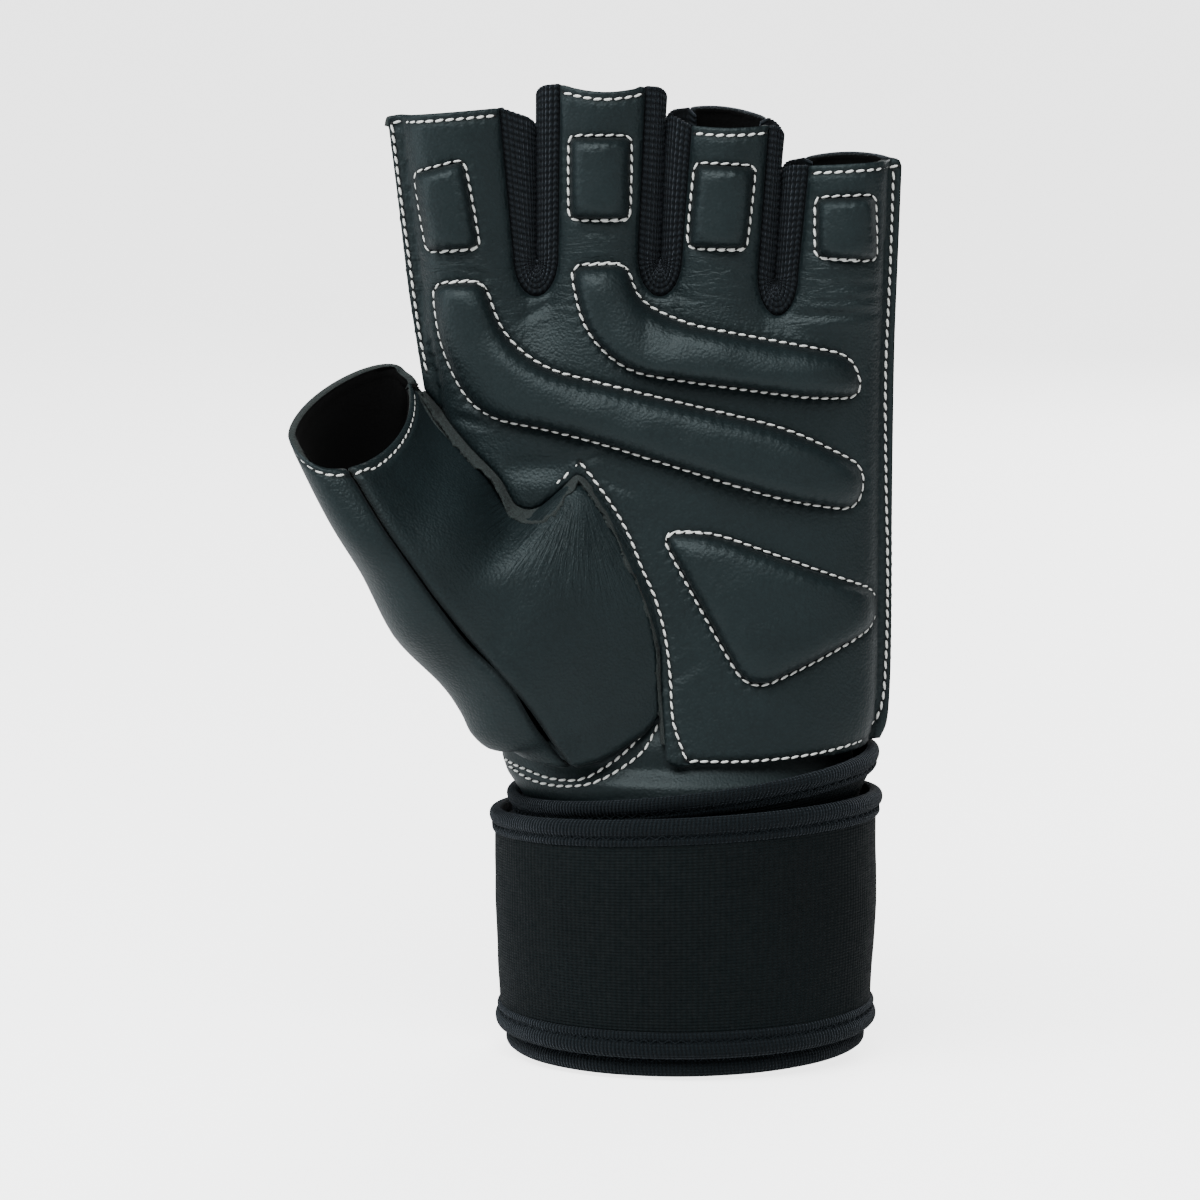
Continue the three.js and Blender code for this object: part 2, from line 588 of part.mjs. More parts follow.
// Wrist wrap: one strap wound outwards from its sewn end at the back. Its first turn lies high over the
// band, its second low and its last between. low: height of its lower edge. For the lower edge (foot) and
// the upper one (head), tilt is how much higher the little-finger side lies and rise the same in front.
const strapStart = Math.PI * 0.55;
const turnPitch = strapWall + strapGap;
const turnSteps = 24;
const highTurn = { low: 12, footTilt: 4.7, headTilt: 4.7, footRise: 0, headRise: -1 };
const lowTurn = { low: 1.6, footTilt: 0.5, headTilt: 0.5, footRise: -1.5, headRise: 0 };
const lastTurn = { low: 5.6, footTilt: 0.4, headTilt: 2, footRise: -1.4, headRise: 0.9 };
const strapPath = [
  { turn: 0, ...highTurn },
  { turn: 0.82, ...highTurn },
  { turn: 1.18, ...lowTurn },
  { turn: 1.82, ...lowTurn },
  { turn: 2.15, ...lastTurn },
  { turn: 3, ...lastTurn },
];
const flare = 3.6; // how far the first turn's top edge spreads over the band
const flareFrom = strapWidth + 3;
const flareHeight = 9.5;
function strapPlace(turn, out, share) {
  const angle = strapStart - 2 * Math.PI * turn;
  const read = (column) => readTable(strapPath, "turn", turn, column);
  const tilt = mix(read("footTilt"), read("headTilt"), share) * Math.cos(angle);
  const rise = -mix(read("footRise"), read("headRise"), share) * Math.sin(angle);
  const z = read("low") + strapWidth * share + tilt + rise;
  const spreading = turn < 1.3 ? flare * Math.pow(clamp01((z - flareFrom) / flareHeight), 1.5) : 0;
  const grow = leather + gap + turnPitch * turn + out + spreading;
  return cuffPoint(wristHalfWidth + grow, wristHalfDepth + grow, angle, z);
}
function strapPiece(shares) {
  const turns = spread(0, strapTurns, Math.round(strapTurns * turnSteps));
  const layer = (out) => turns.map((turn) => shares.map((share) => strapPlace(turn, out, share)));
  return toSolid(wallBetween(layer(strapWall), layer(0)));
}
// Plain tab on the strap's outer end that grips the turn under it.
const tabWidth = 34;
const tabReach = 0.1; // how far past the strap's end it goes on, in turns
const tabOverlap = 0.05;
function wrapTab() {
  const turns = spread(strapTurns - tabOverlap, strapTurns + tabReach, 8);
  const shares = [0.5 - tabWidth / strapWidth / 2, 0.5, 0.5 + tabWidth / strapWidth / 2];
  const layer = (out) => turns.map((turn) => shares.map((share) => strapPlace(turn, out, share)));
  return toSolid(wallBetween(layer(2 * strapWall + gap), layer(strapWall + gap)));
}
const bindingShare = bindingWidth / strapWidth;
const strapEdge = bindingShare + gap / strapWidth;
const wrapStrap = strapPiece([strapEdge, 0.3, 0.7, 0.8, 1 - strapEdge]);
const wrapBindingTop = strapPiece([1 - bindingShare, 1]);
const wrapBindingBottom = strapPiece([0, bindingShare]);

const materials = {
  leather: new THREE.MeshStandardMaterial({ color: 0x1f2a2d, roughness: 0.5, metalness: 0 }),
  knit: new THREE.MeshStandardMaterial({ color: 0x111216, roughness: 0.95, metalness: 0 }),
  fabric: new THREE.MeshStandardMaterial({ color: 0x15191c, roughness: 0.9, metalness: 0 }),
};

const glove = new THREE.Group();
function addPiece(name, solid, material) {
  const mesh = new THREE.Mesh(toGeometry(solid), materials[material]);
  mesh.name = name;
  glove.add(mesh);
}

addPiece("palm_panel", palmPanel, "leather");
addPiece("back_panel", backPanel, "fabric");
addPiece("fourchette_index_middle", fourchette(0), "knit");
addPiece("fourchette_middle_ring", fourchette(1), "knit");
addPiece("fourchette_ring_little", fourchette(2), "knit");
for (const [name, corners] of Object.entries(padCorners)) {
  const onFinger = name.startsWith("finger");
  addPiece(name, pad(rounded(corners), onFinger ? fingerPadHeight : palmPadHeight, onFinger ? 2.6 : 4), "leather");
}
addPiece("thumb_front", thumbFront, "leather");
addPiece("thumb_back", thumbBack, "leather");
addPiece("wrist_band", wristBand(), "leather");
addPiece("wrap_strap", wrapStrap, "fabric");
addPiece("wrap_binding_top", wrapBindingTop, "fabric");
addPiece("wrap_binding_bottom", wrapBindingBottom, "fabric");
addPiece("wrap_tab", wrapTab(), "fabric");

export default glove;
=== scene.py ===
import math

import bmesh
import bpy
import numpy as np
from mathutils import Matrix, Vector


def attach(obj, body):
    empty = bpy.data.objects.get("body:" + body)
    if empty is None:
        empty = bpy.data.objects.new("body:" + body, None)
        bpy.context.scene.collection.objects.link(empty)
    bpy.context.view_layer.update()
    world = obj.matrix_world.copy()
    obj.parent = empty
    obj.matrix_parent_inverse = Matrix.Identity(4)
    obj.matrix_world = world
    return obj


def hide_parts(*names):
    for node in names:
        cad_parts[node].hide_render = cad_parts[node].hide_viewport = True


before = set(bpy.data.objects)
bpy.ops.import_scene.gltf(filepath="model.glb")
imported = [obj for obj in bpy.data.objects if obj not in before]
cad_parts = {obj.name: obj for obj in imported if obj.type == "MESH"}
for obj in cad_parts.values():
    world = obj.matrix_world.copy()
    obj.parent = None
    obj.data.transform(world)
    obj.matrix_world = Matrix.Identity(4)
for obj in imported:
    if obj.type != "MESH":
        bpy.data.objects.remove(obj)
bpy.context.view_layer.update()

# Camera: a long lens one metre from the palm, looking down on it by eight degrees, with the fingers
# up and the whole glove and some floor in the square frame.
camera_tilt = math.radians(8)
camera_aim = Vector((-0.018, -0.015, 0.095))
camera_data = bpy.data.cameras.new("camera")
camera_data.lens = 150
camera_data.sensor_width = 36
camera = bpy.data.objects.new("camera", camera_data)
camera.location = camera_aim + Vector((0, -math.cos(camera_tilt), math.sin(camera_tilt)))
camera.rotation_euler = (math.pi / 2 - camera_tilt, 0, 0)
bpy.context.scene.collection.objects.link(camera)
bpy.context.scene.camera = camera

# Palm panel: one sheet of soft goatskin, 1.4 mm thick, that covers the palm and the fronts of the four
# half fingers. It is sewn to the knitted finger sides, the back and the thumb round its cut edge.
hand_width, palm_length, finger_reach = 98, 94, 42
palm_depth, back_depth, stall_depth = 17, 14, 11
leather_wall = 1.4
clearance = 0.3
seam_flange = 3
wrist_seam = 61.5
crotch_line = wrist_seam + palm_length
flange_face = leather_wall + clearance / 2
round_out = 4
rim_corner = 0.8
web_height = crotch_line - palm_length * 0.2
rounded_below = web_height - palm_length * 0.32
knuckle_below, knuckle_above = 16, 6
stall_fall = 0.24


def eased(at, keys, values):
    """Reads a table along a smooth curve through its rows."""
    keys, values = np.asarray(keys, float), np.asarray(values, float)
    slopes = np.gradient(values, keys)
    at = np.clip(at, keys[0], keys[-1])
    i = np.clip(np.searchsorted(keys, at, side="right") - 1, 0, len(keys) - 2)
    wide = keys[i + 1] - keys[i]
    t = (at - keys[i]) / wide
    lift = (values[i] - values[i + 1]) * (2 * t**3 - 3 * t**2)
    turn = wide * (slopes[i] * (t**3 - 2 * t**2 + t) + slopes[i + 1] * (t**3 - t**2))
    return values[i] + lift + turn


def smooth(t):
    t = np.clip(t, 0, 1)
    return t * t * (3 - 2 * t)


def bell(distance, width):
    return np.exp(-((distance / width) ** 2))


# Rows: height as a share of palm_length above the wrist seam, left and right edges as shares of
# hand_width, then the depth of palm and back as shares of palm_depth and back_depth.
hand_rows = np.array([
    (-0.12, -0.36, 0.355, 1.3, 1.5), (0, -0.4, 0.392, 1.28, 1.42), (0.06, -0.41, 0.41, 1.24, 1.35),
    (0.2, -0.43, 0.42, 1.14, 1.15), (0.4, -0.46, 0.42, 1.02, 1.02), (0.6, -0.5, 0.419, 0.93, 0.96),
    (0.79, -0.541, 0.42, 0.84, 0.92), (1, -0.576, 0.425, 0.72, 0.84), (1.2, -0.602, 0.431, 0.66, 0.78),
    (1.4, -0.618, 0.436, 0.65, 0.76),
])


def hand_row(z, column):
    return eased((z - wrist_seam) / palm_length, hand_rows[:, 0], hand_rows[:, column])


# Stalls: leather edges at the root and at the rim as shares of hand_width, rim heights left and right as
# shares of finger_reach, how far the rim sinks in its middle, and how much longer the back is.
stalls = [
    (-0.576, -0.35, -0.618, -0.386, 0.845, 0.888, 0, -0.08, -0.08, 0),
    (-0.272, -0.108, -0.267, -0.089, 1.0, 0.99, 0.03, -0.06, -0.06, -0.03),
    (-0.025, 0.137, 0, 0.161, 0.805, 0.805, 0.01, 0.07, 0.02, 0.025),
    (0.213, 0.425, 0.238, 0.436, 0.615, 0.64, 0, 0.02, -0.01, 0.028),
]
# Crotches: the slit between two stalls at the rim and at its lower end, and the crotch's drop.
crotches = [(-0.314, -0.314, 0), (-0.047, -0.063, 0), (0.198, 0.171, 0.09)]
crotch_rise, slit_rise, slit_half = 8, 6.5, 0.05
# How far each slit's two upper ends lie below the rims beside them.
slit_dips = [(2.4, 0.4), (0.3, -2.4), (0.4, 0)]


def shoulder(s):
    return (1 - np.minimum(1, np.abs(s)) ** 2.5) ** (1 / 2.5)


def rim_height(stall, right, back=False):
    return crotch_line + finger_reach * (stall[4 + right] + (stall[7 + right] if back else 0))


def stall_edge(stall, right, z):
    up = np.clip((z - crotch_line) / (finger_reach * stall[4 + right]), 0, 1)
    return hand_width * (stall[right] + (stall[2 + right] - stall[right]) * up)


def outer_face(x, z, is_palm=True):
    """Distance from the side seam plane to the outer face of the palm or the back."""
    x, z = np.asarray(x, float), np.asarray(z, float)
    flange = smooth((z - rounded_below) / (web_height - rounded_below))
    left = hand_width * hand_row(z, 1) - round_out + (seam_flange + round_out) * flange
    right = hand_width * hand_row(z, 2) - seam_flange
    full = (palm_depth if is_palm else back_depth) * hand_row(z, 3 if is_palm else 4)
    on_hand = flange_face + (full - flange_face) * shoulder((2 * x - left - right) / (right - left))
    depth = stall_depth * (1 if is_palm else 0.95)
    on_stall = np.zeros_like(x + z)
    for i, stall in enumerate(stalls):
        left = stall_edge(stall, 0, z) + (seam_flange if i == 0 else 0)
        right = stall_edge(stall, 1, z) - (seam_flange if i == 3 else 0)
        s = (2 * x - left - right) / (right - left)
        here = depth * (1 - stall_fall * np.minimum(s * s, 1.4))
        to_seam = (s < 0) if i == 0 else (s > 0) if i == 3 else np.zeros_like(s, bool)
        here = np.where(to_seam, flange_face + (depth - flange_face) * shoulder(s), here)
        from_slit = x > (stall_edge(stalls[i - 1], 1, z) + stall_edge(stall, 0, z)) / 2 if i else x > -1e9
        on_stall = np.where(from_slit, here, on_stall)
    share = smooth((z - crotch_line + knuckle_below) / (knuckle_below + knuckle_above))
    return on_hand + (on_stall - on_hand) * share


def crotch_path(i, clear, back=False):
    """Edge of a knitted side from rim to rim round the crotch, and the matching points on its slit."""
    a, b, (slit_tip, slit_root, drop) = stalls[i], stalls[i + 1], crotches[i]
    low = crotch_line - finger_reach * drop - clear
    arc_top = low + crotch_rise + clear
    slit_low = low + clear + slit_rise + slit_half

    def slit_x(z):
        return hand_width * (slit_root + (slit_tip - slit_root) * np.clip((z - crotch_line) / finger_reach, 0, 1))

    def side(stall, right, way, share):
        rim = rim_height(stall, right, back)
        slit_top = rim_height(stall, right) - slit_dips[i][1 - right]
        z = arc_top + (rim - arc_top) * share
        slit_z = slit_low + (slit_top - slit_low) * share
        edge = np.stack([stall_edge(stall, right, z) - way * clear, z], 1)
        return edge, np.stack([slit_x(slit_z) - way * slit_half, slit_z], 1)

    turn = np.linspace(0, math.pi, 25)[1:-1]
    left_x = stall_edge(a, 1, arc_top) - clear
    right_x = stall_edge(b, 0, arc_top) + clear
    arc = np.stack([left_x + (right_x - left_x) * (1 - np.cos(turn)) / 2,
                    arc_top - (arc_top - low) * np.sin(turn)], 1)
    end = np.stack([slit_x(slit_low) - slit_half * np.cos(turn), slit_low - slit_half * np.sin(turn)], 1)
    down = side(a, 1, 1, np.linspace(1, 0, 33))
    up = side(b, 0, -1, np.linspace(0, 1, 33))
    return np.concatenate([down[0], arc, up[0]]), np.concatenate([down[1], end, up[1]])


def hand_places(rows):
    """Places given as shares of hand_width and of palm_length above the wrist seam, in millimetres."""
    return np.array([(hand_width * x, wrist_seam + palm_length * up) for x, up in rows])


def curve_through(points, spacing=0.8, closed=False):
    """Evenly spaced points along a smooth curve through the given ones."""
    points = np.asarray(points, float)
    if closed:
        points = np.concatenate([points[-3:], points, points[:3]])
    at = np.concatenate([[0], np.cumsum(np.linalg.norm(np.diff(points, axis=0), axis=1) ** 0.5)])
    first, last = (at[3], at[-3]) if closed else (at[0], at[-1])
    fine = np.linspace(first, last, 12 * len(points))
    dense = np.stack([eased(fine, at, points[:, k]) for k in range(points.shape[1])], 1)
    run = np.concatenate([[0], np.cumsum(np.linalg.norm(np.diff(dense, axis=0), axis=1))])
    even = np.linspace(0, run[-1], max(2, round(run[-1] / spacing) + 1))
    if closed:
        even = even[:-1]
    return np.stack([np.interp(even, run, dense[:, k]) for k in range(points.shape[1])], 1)


def round_corners(points, radii):
    """Outline through corners, each cut back by its radius and rounded."""
    points = np.asarray(points, float)
    out = []
    for i, (here, radius) in enumerate(zip(points, radii)):
        before, after = points[i - 1], points[(i + 1) % len(points)]
        reach = min(radius, np.linalg.norm(here - before) * 0.48, np.linalg.norm(here - after) * 0.48)
        start = here + (before - here) / np.linalg.norm(before - here) * reach
        end = here + (after - here) / np.linalg.norm(after - here) * reach
        for t in np.linspace(0, 1, 9):
            out.append((1 - t) ** 2 * start + 2 * t * (1 - t) * here + t * t * end)
    return np.array(out)


thumb_hole = hand_places([
    (-0.545, 0.79), (-0.457, 0.685), (-0.387, 0.612), (-0.352, 0.556), (-0.316, 0.552), (-0.265, 0.592),
    (-0.2275, 0.625), (-0.171, 0.553), (-0.135, 0.479), (-0.087, 0.361), (-0.063, 0.264), (-0.059, 0.176),
    (-0.051, 0.055), (-0.025, 0.01),
])


def rim_run(stall, back=False):
    """Points along a stall's rim from its left edge to its right one, with their corners rounded."""
    t = np.linspace(0, 1, 25)
    low, high = rim_height(stall, 0, back), rim_height(stall, 1, back)
    x = hand_width * (stall[2] + (stall[3] - stall[2]) * t)
    bow = stall[9] * np.sin(math.pi * t) ** 0.8 if back else -stall[6] * np.sin(math.pi * t)
    z = low + (high - low) * t + finger_reach * bow
    round_by = np.clip(1 - np.minimum(t, 1 - t) * (x[-1] - x[0]) / rim_corner, 0, 1)
    if stall is stalls[0]:
        outer_corner = np.clip(1 - t * (x[-1] - x[0]) / (2 * rim_corner), 0, 1) * 2
        round_by = np.where(t < 0.5, outer_corner, round_by)
    return np.stack([x, z - 0.7 * (1 - np.sqrt(np.maximum(0, 1 - (round_by / 2) ** 2))) * 2], 1)


def finger_side(back=False):
    runs = []
    for i, stall in enumerate(stalls):
        runs.append(rim_run(stall, back))
        if i < 3:
            runs.append(crotch_path(i, clearance, back)[0][1:-1])
    return np.concatenate(runs)


right_side = [(0.4335, 1.27), (0.4265, 1.05), (0.422, 0.9), (0.42, 0.7), (0.4195, 0.5), (0.42, 0.3),
              (0.418, 0.15), (0.411, 0.065), (0.398, 0.034)]
left_side = [(-0.545, 0.79), (-0.5615, 0.9), (-0.576, 1.0), (-0.587, 1.1), (-0.6, 1.22), (-0.6175, 1.37)]
palm_hem = hand_places([(0.398, 0.034), (0.31, 0.023), (0.2, 0.018), (0.08, 0.014), (0, 0.01), (-0.03, 0.008),
                        (-0.049, 0.02)])
palm_outline = np.concatenate([
    finger_side()[1:-1],
    curve_through(hand_places(right_side)),
    curve_through(palm_hem)[1:],
    curve_through(thumb_hole[6:13][::-1])[1:],
    curve_through(thumb_hole[:7][::-1])[1:],
    curve_through(hand_places(left_side))[1:],
])


def to_outline(points, outline, closed=True):
    """Distance of points to an outline, positive inside it, the nearest place and the run up to it."""
    ends = np.roll(outline, -1, axis=0) if closed else outline[1:]
    starts = outline if closed else outline[:-1]
    best = np.full(len(points), 1e9)
    run = np.zeros(len(points))
    near = np.zeros((len(points), 2))
    inside = np.zeros(len(points), bool)
    so_far = 0
    for a, b in zip(starts, ends):
        edge = b - a
        long = float(edge @ edge)
        if long < 1e-10:
            continue
        t = np.clip(((points - a) @ edge) / long, 0, 1)
        place = a + t[:, None] * edge
        d = np.hypot(*(points - place).T)
        closer = d < best
        best[closer] = d[closer]
        near[closer] = place[closer]
        run[closer] = so_far + t[closer] * math.sqrt(long)
        if closed:
            span = (a[1] > points[:, 1]) != (b[1] > points[:, 1])
            across = a[0] + (points[:, 1] - a[1]) * edge[0] / (edge[1] if abs(edge[1]) > 1e-12 else 1e-12)
            inside ^= span & (points[:, 0] < across)
        so_far += math.sqrt(long)
    return np.where(inside | (not closed), best, -best), near, run


def flat_sheet(outline, step):
    """A grid in the x, z plane cut to an outline, with its rim on the outline. Faces look to -Y."""
    low, high = outline.min(0) - step, outline.max(0) + step
    count = np.ceil((high - low) / step).astype(int)
    sheet = bmesh.new()
    bmesh.ops.create_grid(sheet, x_segments=int(count[0]), y_segments=int(count[1]), size=1)
    bmesh.ops.scale(sheet, vec=(*(high - low) / 2, 1), verts=sheet.verts)
    bmesh.ops.translate(sheet, vec=(*(high + low) / 2, 0), verts=sheet.verts)
    places = np.array([v.co.xy for v in sheet.verts])
    inside = to_outline(places, outline)[0]
    outside = [v for v, d in zip(sheet.verts, inside) if d < -0.42 * step]
    bmesh.ops.delete(sheet, geom=outside, context="VERTS")
    loose = [v for v in sheet.verts if not v.link_faces]
    bmesh.ops.delete(sheet, geom=loose, context="VERTS")
    rim = [v for v in sheet.verts if v.is_boundary]
    for v, place in zip(rim, to_outline(np.array([v.co.xy for v in rim]), outline)[1]):
        v.co.xy = place
    next_in = {e.other_vert(v) for v in rim for e in v.link_edges} - set(rim)
    for _ in range(3):
        bmesh.ops.smooth_vert(sheet, verts=list(next_in), factor=0.5, use_axis_x=True, use_axis_y=True)
    bmesh.ops.rotate(sheet, matrix=Matrix.Rotation(math.pi / 2, 3, "X"), verts=sheet.verts)
    return sheet


def finish_piece(name, made, node, materials, fields=None, wall=0.0, lined=False):
    """Turns a bmesh in millimetres into a piece of the glove that stands for a CAD node.

    wall gives a sheet its thickness, with the second material on its cut edge, and a lined one has the
    last material inside.
    """
    bmesh.ops.scale(made, vec=(0.001, 0.001, 0.001), verts=made.verts)
    mesh = bpy.data.meshes.new(name)
    made.to_mesh(mesh)
    made.free()
    for key, values in (fields or {}).items():
        layer = mesh.attributes.new(key, "FLOAT", "POINT")
        layer.data.foreach_set("value", np.asarray(values, np.float32))
    for material in materials:
        mesh.materials.append(material)
    mesh.shade_smooth()
    piece = bpy.data.objects.new(name, mesh)
    bpy.context.scene.collection.objects.link(piece)
    if wall:
        thick = piece.modifiers.new("thickness", "SOLIDIFY")
        thick.thickness = wall * 0.001
        thick.offset = -1
        thick.use_even_offset = False
        thick.material_offset = len(materials) - 1 if lined else 0
        thick.material_offset_rim = min(1, len(materials) - 1)
    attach(piece, "root")
    if node:
        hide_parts(*([node] if isinstance(node, str) else node))
    return piece


# The seven pads are stitched on the palm: four small ones on the fingers, two long bars under the knuckles
# and a three-cornered one on the heel. Here are their outlines, which the palm's grooves follow too.
pad_corners = {
    "finger_pad_index": [(-0.562, 1.257, 1.4), (-0.462, 1.285, 1.4), (-0.43, 1.104, 1.4), (-0.537, 1.095, 1.4)],
    "finger_pad_middle": [(-0.245, 1.335, 1.4), (-0.122, 1.335, 1.4), (-0.125, 1.163, 1.4), (-0.245, 1.165, 1.4)],
    "finger_pad_ring": [(0.01, 1.278, 1.4), (0.13, 1.272, 1.4), (0.112, 1.1, 1.4), (-0.005, 1.105, 1.4)],
    "finger_pad_little": [(0.255, 1.205, 1.4), (0.375, 1.21, 1.4), (0.38, 1.077, 1.4), (0.256, 1.084, 1.4)],
    "palm_bar_upper": [
        (-0.243, 1.062, 3), (-0.132, 1.068, 3), (-0.106, 0.985, 12), (-0.015, 0.94, 14), (0.33, 0.87, 10),
        (0.355, 0.785, 10), (0.25, 0.787, 12), (-0.13, 0.845, 16), (-0.215, 0.93, 14),
    ],
    "palm_bar_lower": [
        (-0.525, 1.022, 3), (-0.423, 1.032, 3), (-0.385, 0.915, 12), (-0.3, 0.845, 14), (0.21, 0.715, 16),
        (0.36, 0.63, 10), (0.345, 0.545, 8), (0.2, 0.57, 10), (-0.23, 0.71, 16), (-0.44, 0.75, 16),
        (-0.51, 0.885, 14),
    ],
    "heel_pad": [(-0.059, 0.502, 4), (0.045, 0.5, 8), (0.385, 0.365, 6), (0.385, 0.293, 5), (0.121, 0.164, 6)],
}
pad_outlines = {
    name: round_corners(hand_places([row[:2] for row in rows]), [row[2] for row in rows])
    for name, rows in pad_corners.items()
}

# Rows of stitches round the palm panel, inside its cut edge.
stitch_pitch = 2.1
rim_seams = [rim_run(stall)[1:-1] - np.array([0, 1.5]) for stall in stalls]
index_side_seam = hand_places([(-0.609, 1.36), (-0.593, 1.22), (-0.576, 1.08), (-0.557, 0.93), (-0.541, 0.83)])
little_side_seam = hand_places([(0.4165, 1.26), (0.411, 1.05), (0.4035, 0.82), (0.406, 0.6), (0.411, 0.4),
                                (0.4085, 0.2), (0.399, 0.1), (0.372, 0.045)])
palm_hem_seam = hand_places([(0.36, 0.043), (0.24, 0.026), (0.11, 0.018), (-0.003, 0.02)])
thumb_side_seam = hand_places([(-0.2245, 0.652), (-0.199, 0.618), (-0.151, 0.547), (-0.121, 0.487), (-0.098, 0.426),
                               (-0.072, 0.365), (-0.051, 0.283), (-0.041, 0.2), (-0.034, 0.102), (-0.008, 0.022)])
notch_seam = hand_places([(-0.278, 0.6), (-0.256, 0.62), (-0.2275, 0.648)])
panel_seams = {
    "index_rim": rim_seams[0], "middle_rim": rim_seams[1], "ring_rim": rim_seams[2], "little_rim": rim_seams[3],
    "index_side": index_side_seam, "little_side": little_side_seam, "palm_hem": palm_hem_seam,
    "thumb_side": thumb_side_seam,
}


def palm_relief(places):
    """How far the palm leather stands over its plain face, with the nearness of seams and folds, which darkens the
    colour as painted shade in the grooves.
    """
    lift = np.zeros(len(places))
    groove_shade = np.zeros(len(places))
    # Rows: line, whether it is closed, width and depth of its groove, and how far off the leather puckers.
    lines = [(outline, True, 0.85, 0.5, -1.1) for outline in pad_outlines.values()]
    lines += [(curve_through(seam), False, 0.8, 0.42, 1.0) for seam in panel_seams.values()]
    for line, closed, wide, deep, pucker_at in lines:
        near = (places > line.min(0) - 4).all(1) & (places < line.max(0) + 4).all(1)
        d, _, run = to_outline(places[near], line, closed)
        dip = bell(d, wide)
        lift[near] -= deep * dip
        lift[near] += 0.14 * np.cos(run * 2 * math.pi / stitch_pitch) * bell(d - pucker_at, 1.0)
        groove_shade[near] = np.maximum(groove_shade[near], dip)
    return lift, groove_shade


# Creases of soft leather that has been bent: ends as shares, depth in mm and half-width in mm.
palm_creases = [
    (0.2, 0.958, 0.4, 0.962, 0.55, 0.9), (0.24, 0.985, 0.41, 0.995, 0.3, 0.6), (0.28, 1.02, 0.4, 1.028, 0.3, 0.7),
    (-0.47, 1.062, -0.36, 1.02, 0.35, 0.8), (-0.55, 1.072, -0.43, 1.082, 0.3, 0.7),
    (-0.235, 1.14, -0.12, 1.128, 0.3, 0.7), (-0.1, 1.02, 0.02, 0.99, 0.3, 0.8),
    (0.05, 1.07, 0.14, 1.04, 0.3, 0.7), (-0.36, 0.94, -0.27, 0.99, 0.35, 0.9),
    (-0.385, 0.638, -0.25, 0.645, 0.9, 2.4), (-0.26, 0.65, -0.17, 0.672, 0.35, 1.0),
    (-0.5, 0.745, -0.4, 0.72, 0.35, 0.9), (-0.47, 0.77, -0.38, 0.765, 0.3, 0.7),
    (-0.2, 0.63, -0.11, 0.585, 0.35, 1.0), (0.02, 0.62, 0.2, 0.535, 0.2, 1.6), (-0.08, 0.16, 0.03, 0.24, 0.25, 1.2),
]


def creased(places):
    lift = np.zeros(len(places))
    for x0, up0, x1, up1, deep, wide in palm_creases:
        line = hand_places([(x0, up0), (x1, up1)])
        d, _, run = to_outline(places, line, closed=False)
        fade = np.sin(np.clip(run / np.linalg.norm(line[1] - line[0]), 0, 1) * math.pi)
        lift -= deep * bell(d, wide) * fade**0.5
        lift += 0.35 * deep * bell(d - 2 * wide, wide) * fade
    return lift


def folding(places):
    """Share of fine cross wrinkles: round the crotches and under the finger pads."""
    x, z = places.T
    share = bell(z - crotch_line - 2, 9) * 0.8
    for outline in [pad_outlines[name] for name in pad_outlines if name.startswith("finger")]:
        middle, low = outline.mean(0)[0], outline.min(0)[1]
        share += bell(z - low + 4, 4) * bell(x - middle, 9)
    share += 0.5 * bell(z - hand_places([(0, 0.68)])[0, 1], 6) * bell(x - hand_width * -0.36, 14)
    share += 0.4 * bell(np.abs(x - hand_width * 0.39), 4)
    return np.clip(share, 0, 1)


# Shader groups for leather. Coordinates are the object's own, in metres.
def new_group(name, inputs, outputs):
    group = bpy.data.node_groups.new(name, "ShaderNodeTree")
    for label, kind, value in inputs:
        made = group.interface.new_socket(label, in_out="INPUT", socket_type="NodeSocket" + kind)
        if value is not None:
            made.default_value = value
    for label, kind in outputs:
        group.interface.new_socket(label, in_out="OUTPUT", socket_type="NodeSocket" + kind)
    return group, group.nodes.new("NodeGroupInput"), group.nodes.new("NodeGroupOutput")


def node(tree, kind, settings=None, **inputs):
    """Adds a node. settings are its own choices, and inputs are values or sockets by input name."""
    made = tree.nodes.new(kind)
    for key, value in (settings or {}).items():
        setattr(made, key, value)
    for key, value in inputs.items():
        label = key.replace("_", " ")
        socket = made.inputs[int(key[2:])] if key.startswith("in") and key[2:].isdigit() else made.inputs[label]
        if isinstance(value, bpy.types.NodeSocket):
            tree.links.new(value, socket)
        else:
            socket.default_value = value
    return made


def reckon(tree, kind, a, b=0.0):
    return node(tree, "ShaderNodeMath", {"operation": kind}, in0=a, in1=b).outputs[0]


def waved(tree, value, length):
    """A sine wave along a run in millimetres."""
    return reckon(tree, "SINE", reckon(tree, "MULTIPLY", value, 2 * math.pi / length))


def ranged(tree, value, low, high, to_low, to_high):
    return node(tree, "ShaderNodeMapRange", Value=value, in1=low, in2=high, in3=to_low, in4=to_high).outputs[0]


def on_piece(tree, kind="Object"):
    return node(tree, "ShaderNodeTexCoord").outputs[kind]


def noise(tree, scale, detail=2.0, roughness=0.5, place=None, **more):
    """Soft noise over the piece, or over the given places."""
    if place is None:
        place = on_piece(tree)
    return node(tree, "ShaderNodeTexNoise", Vector=place, Scale=scale, Detail=detail, Roughness=roughness,
                **more).outputs[0]


def scaled_colour(tree, colour, by):
    return node(tree, "ShaderNodeVectorMath", {"operation": "SCALE"}, in0=colour, Scale=by).outputs[0]


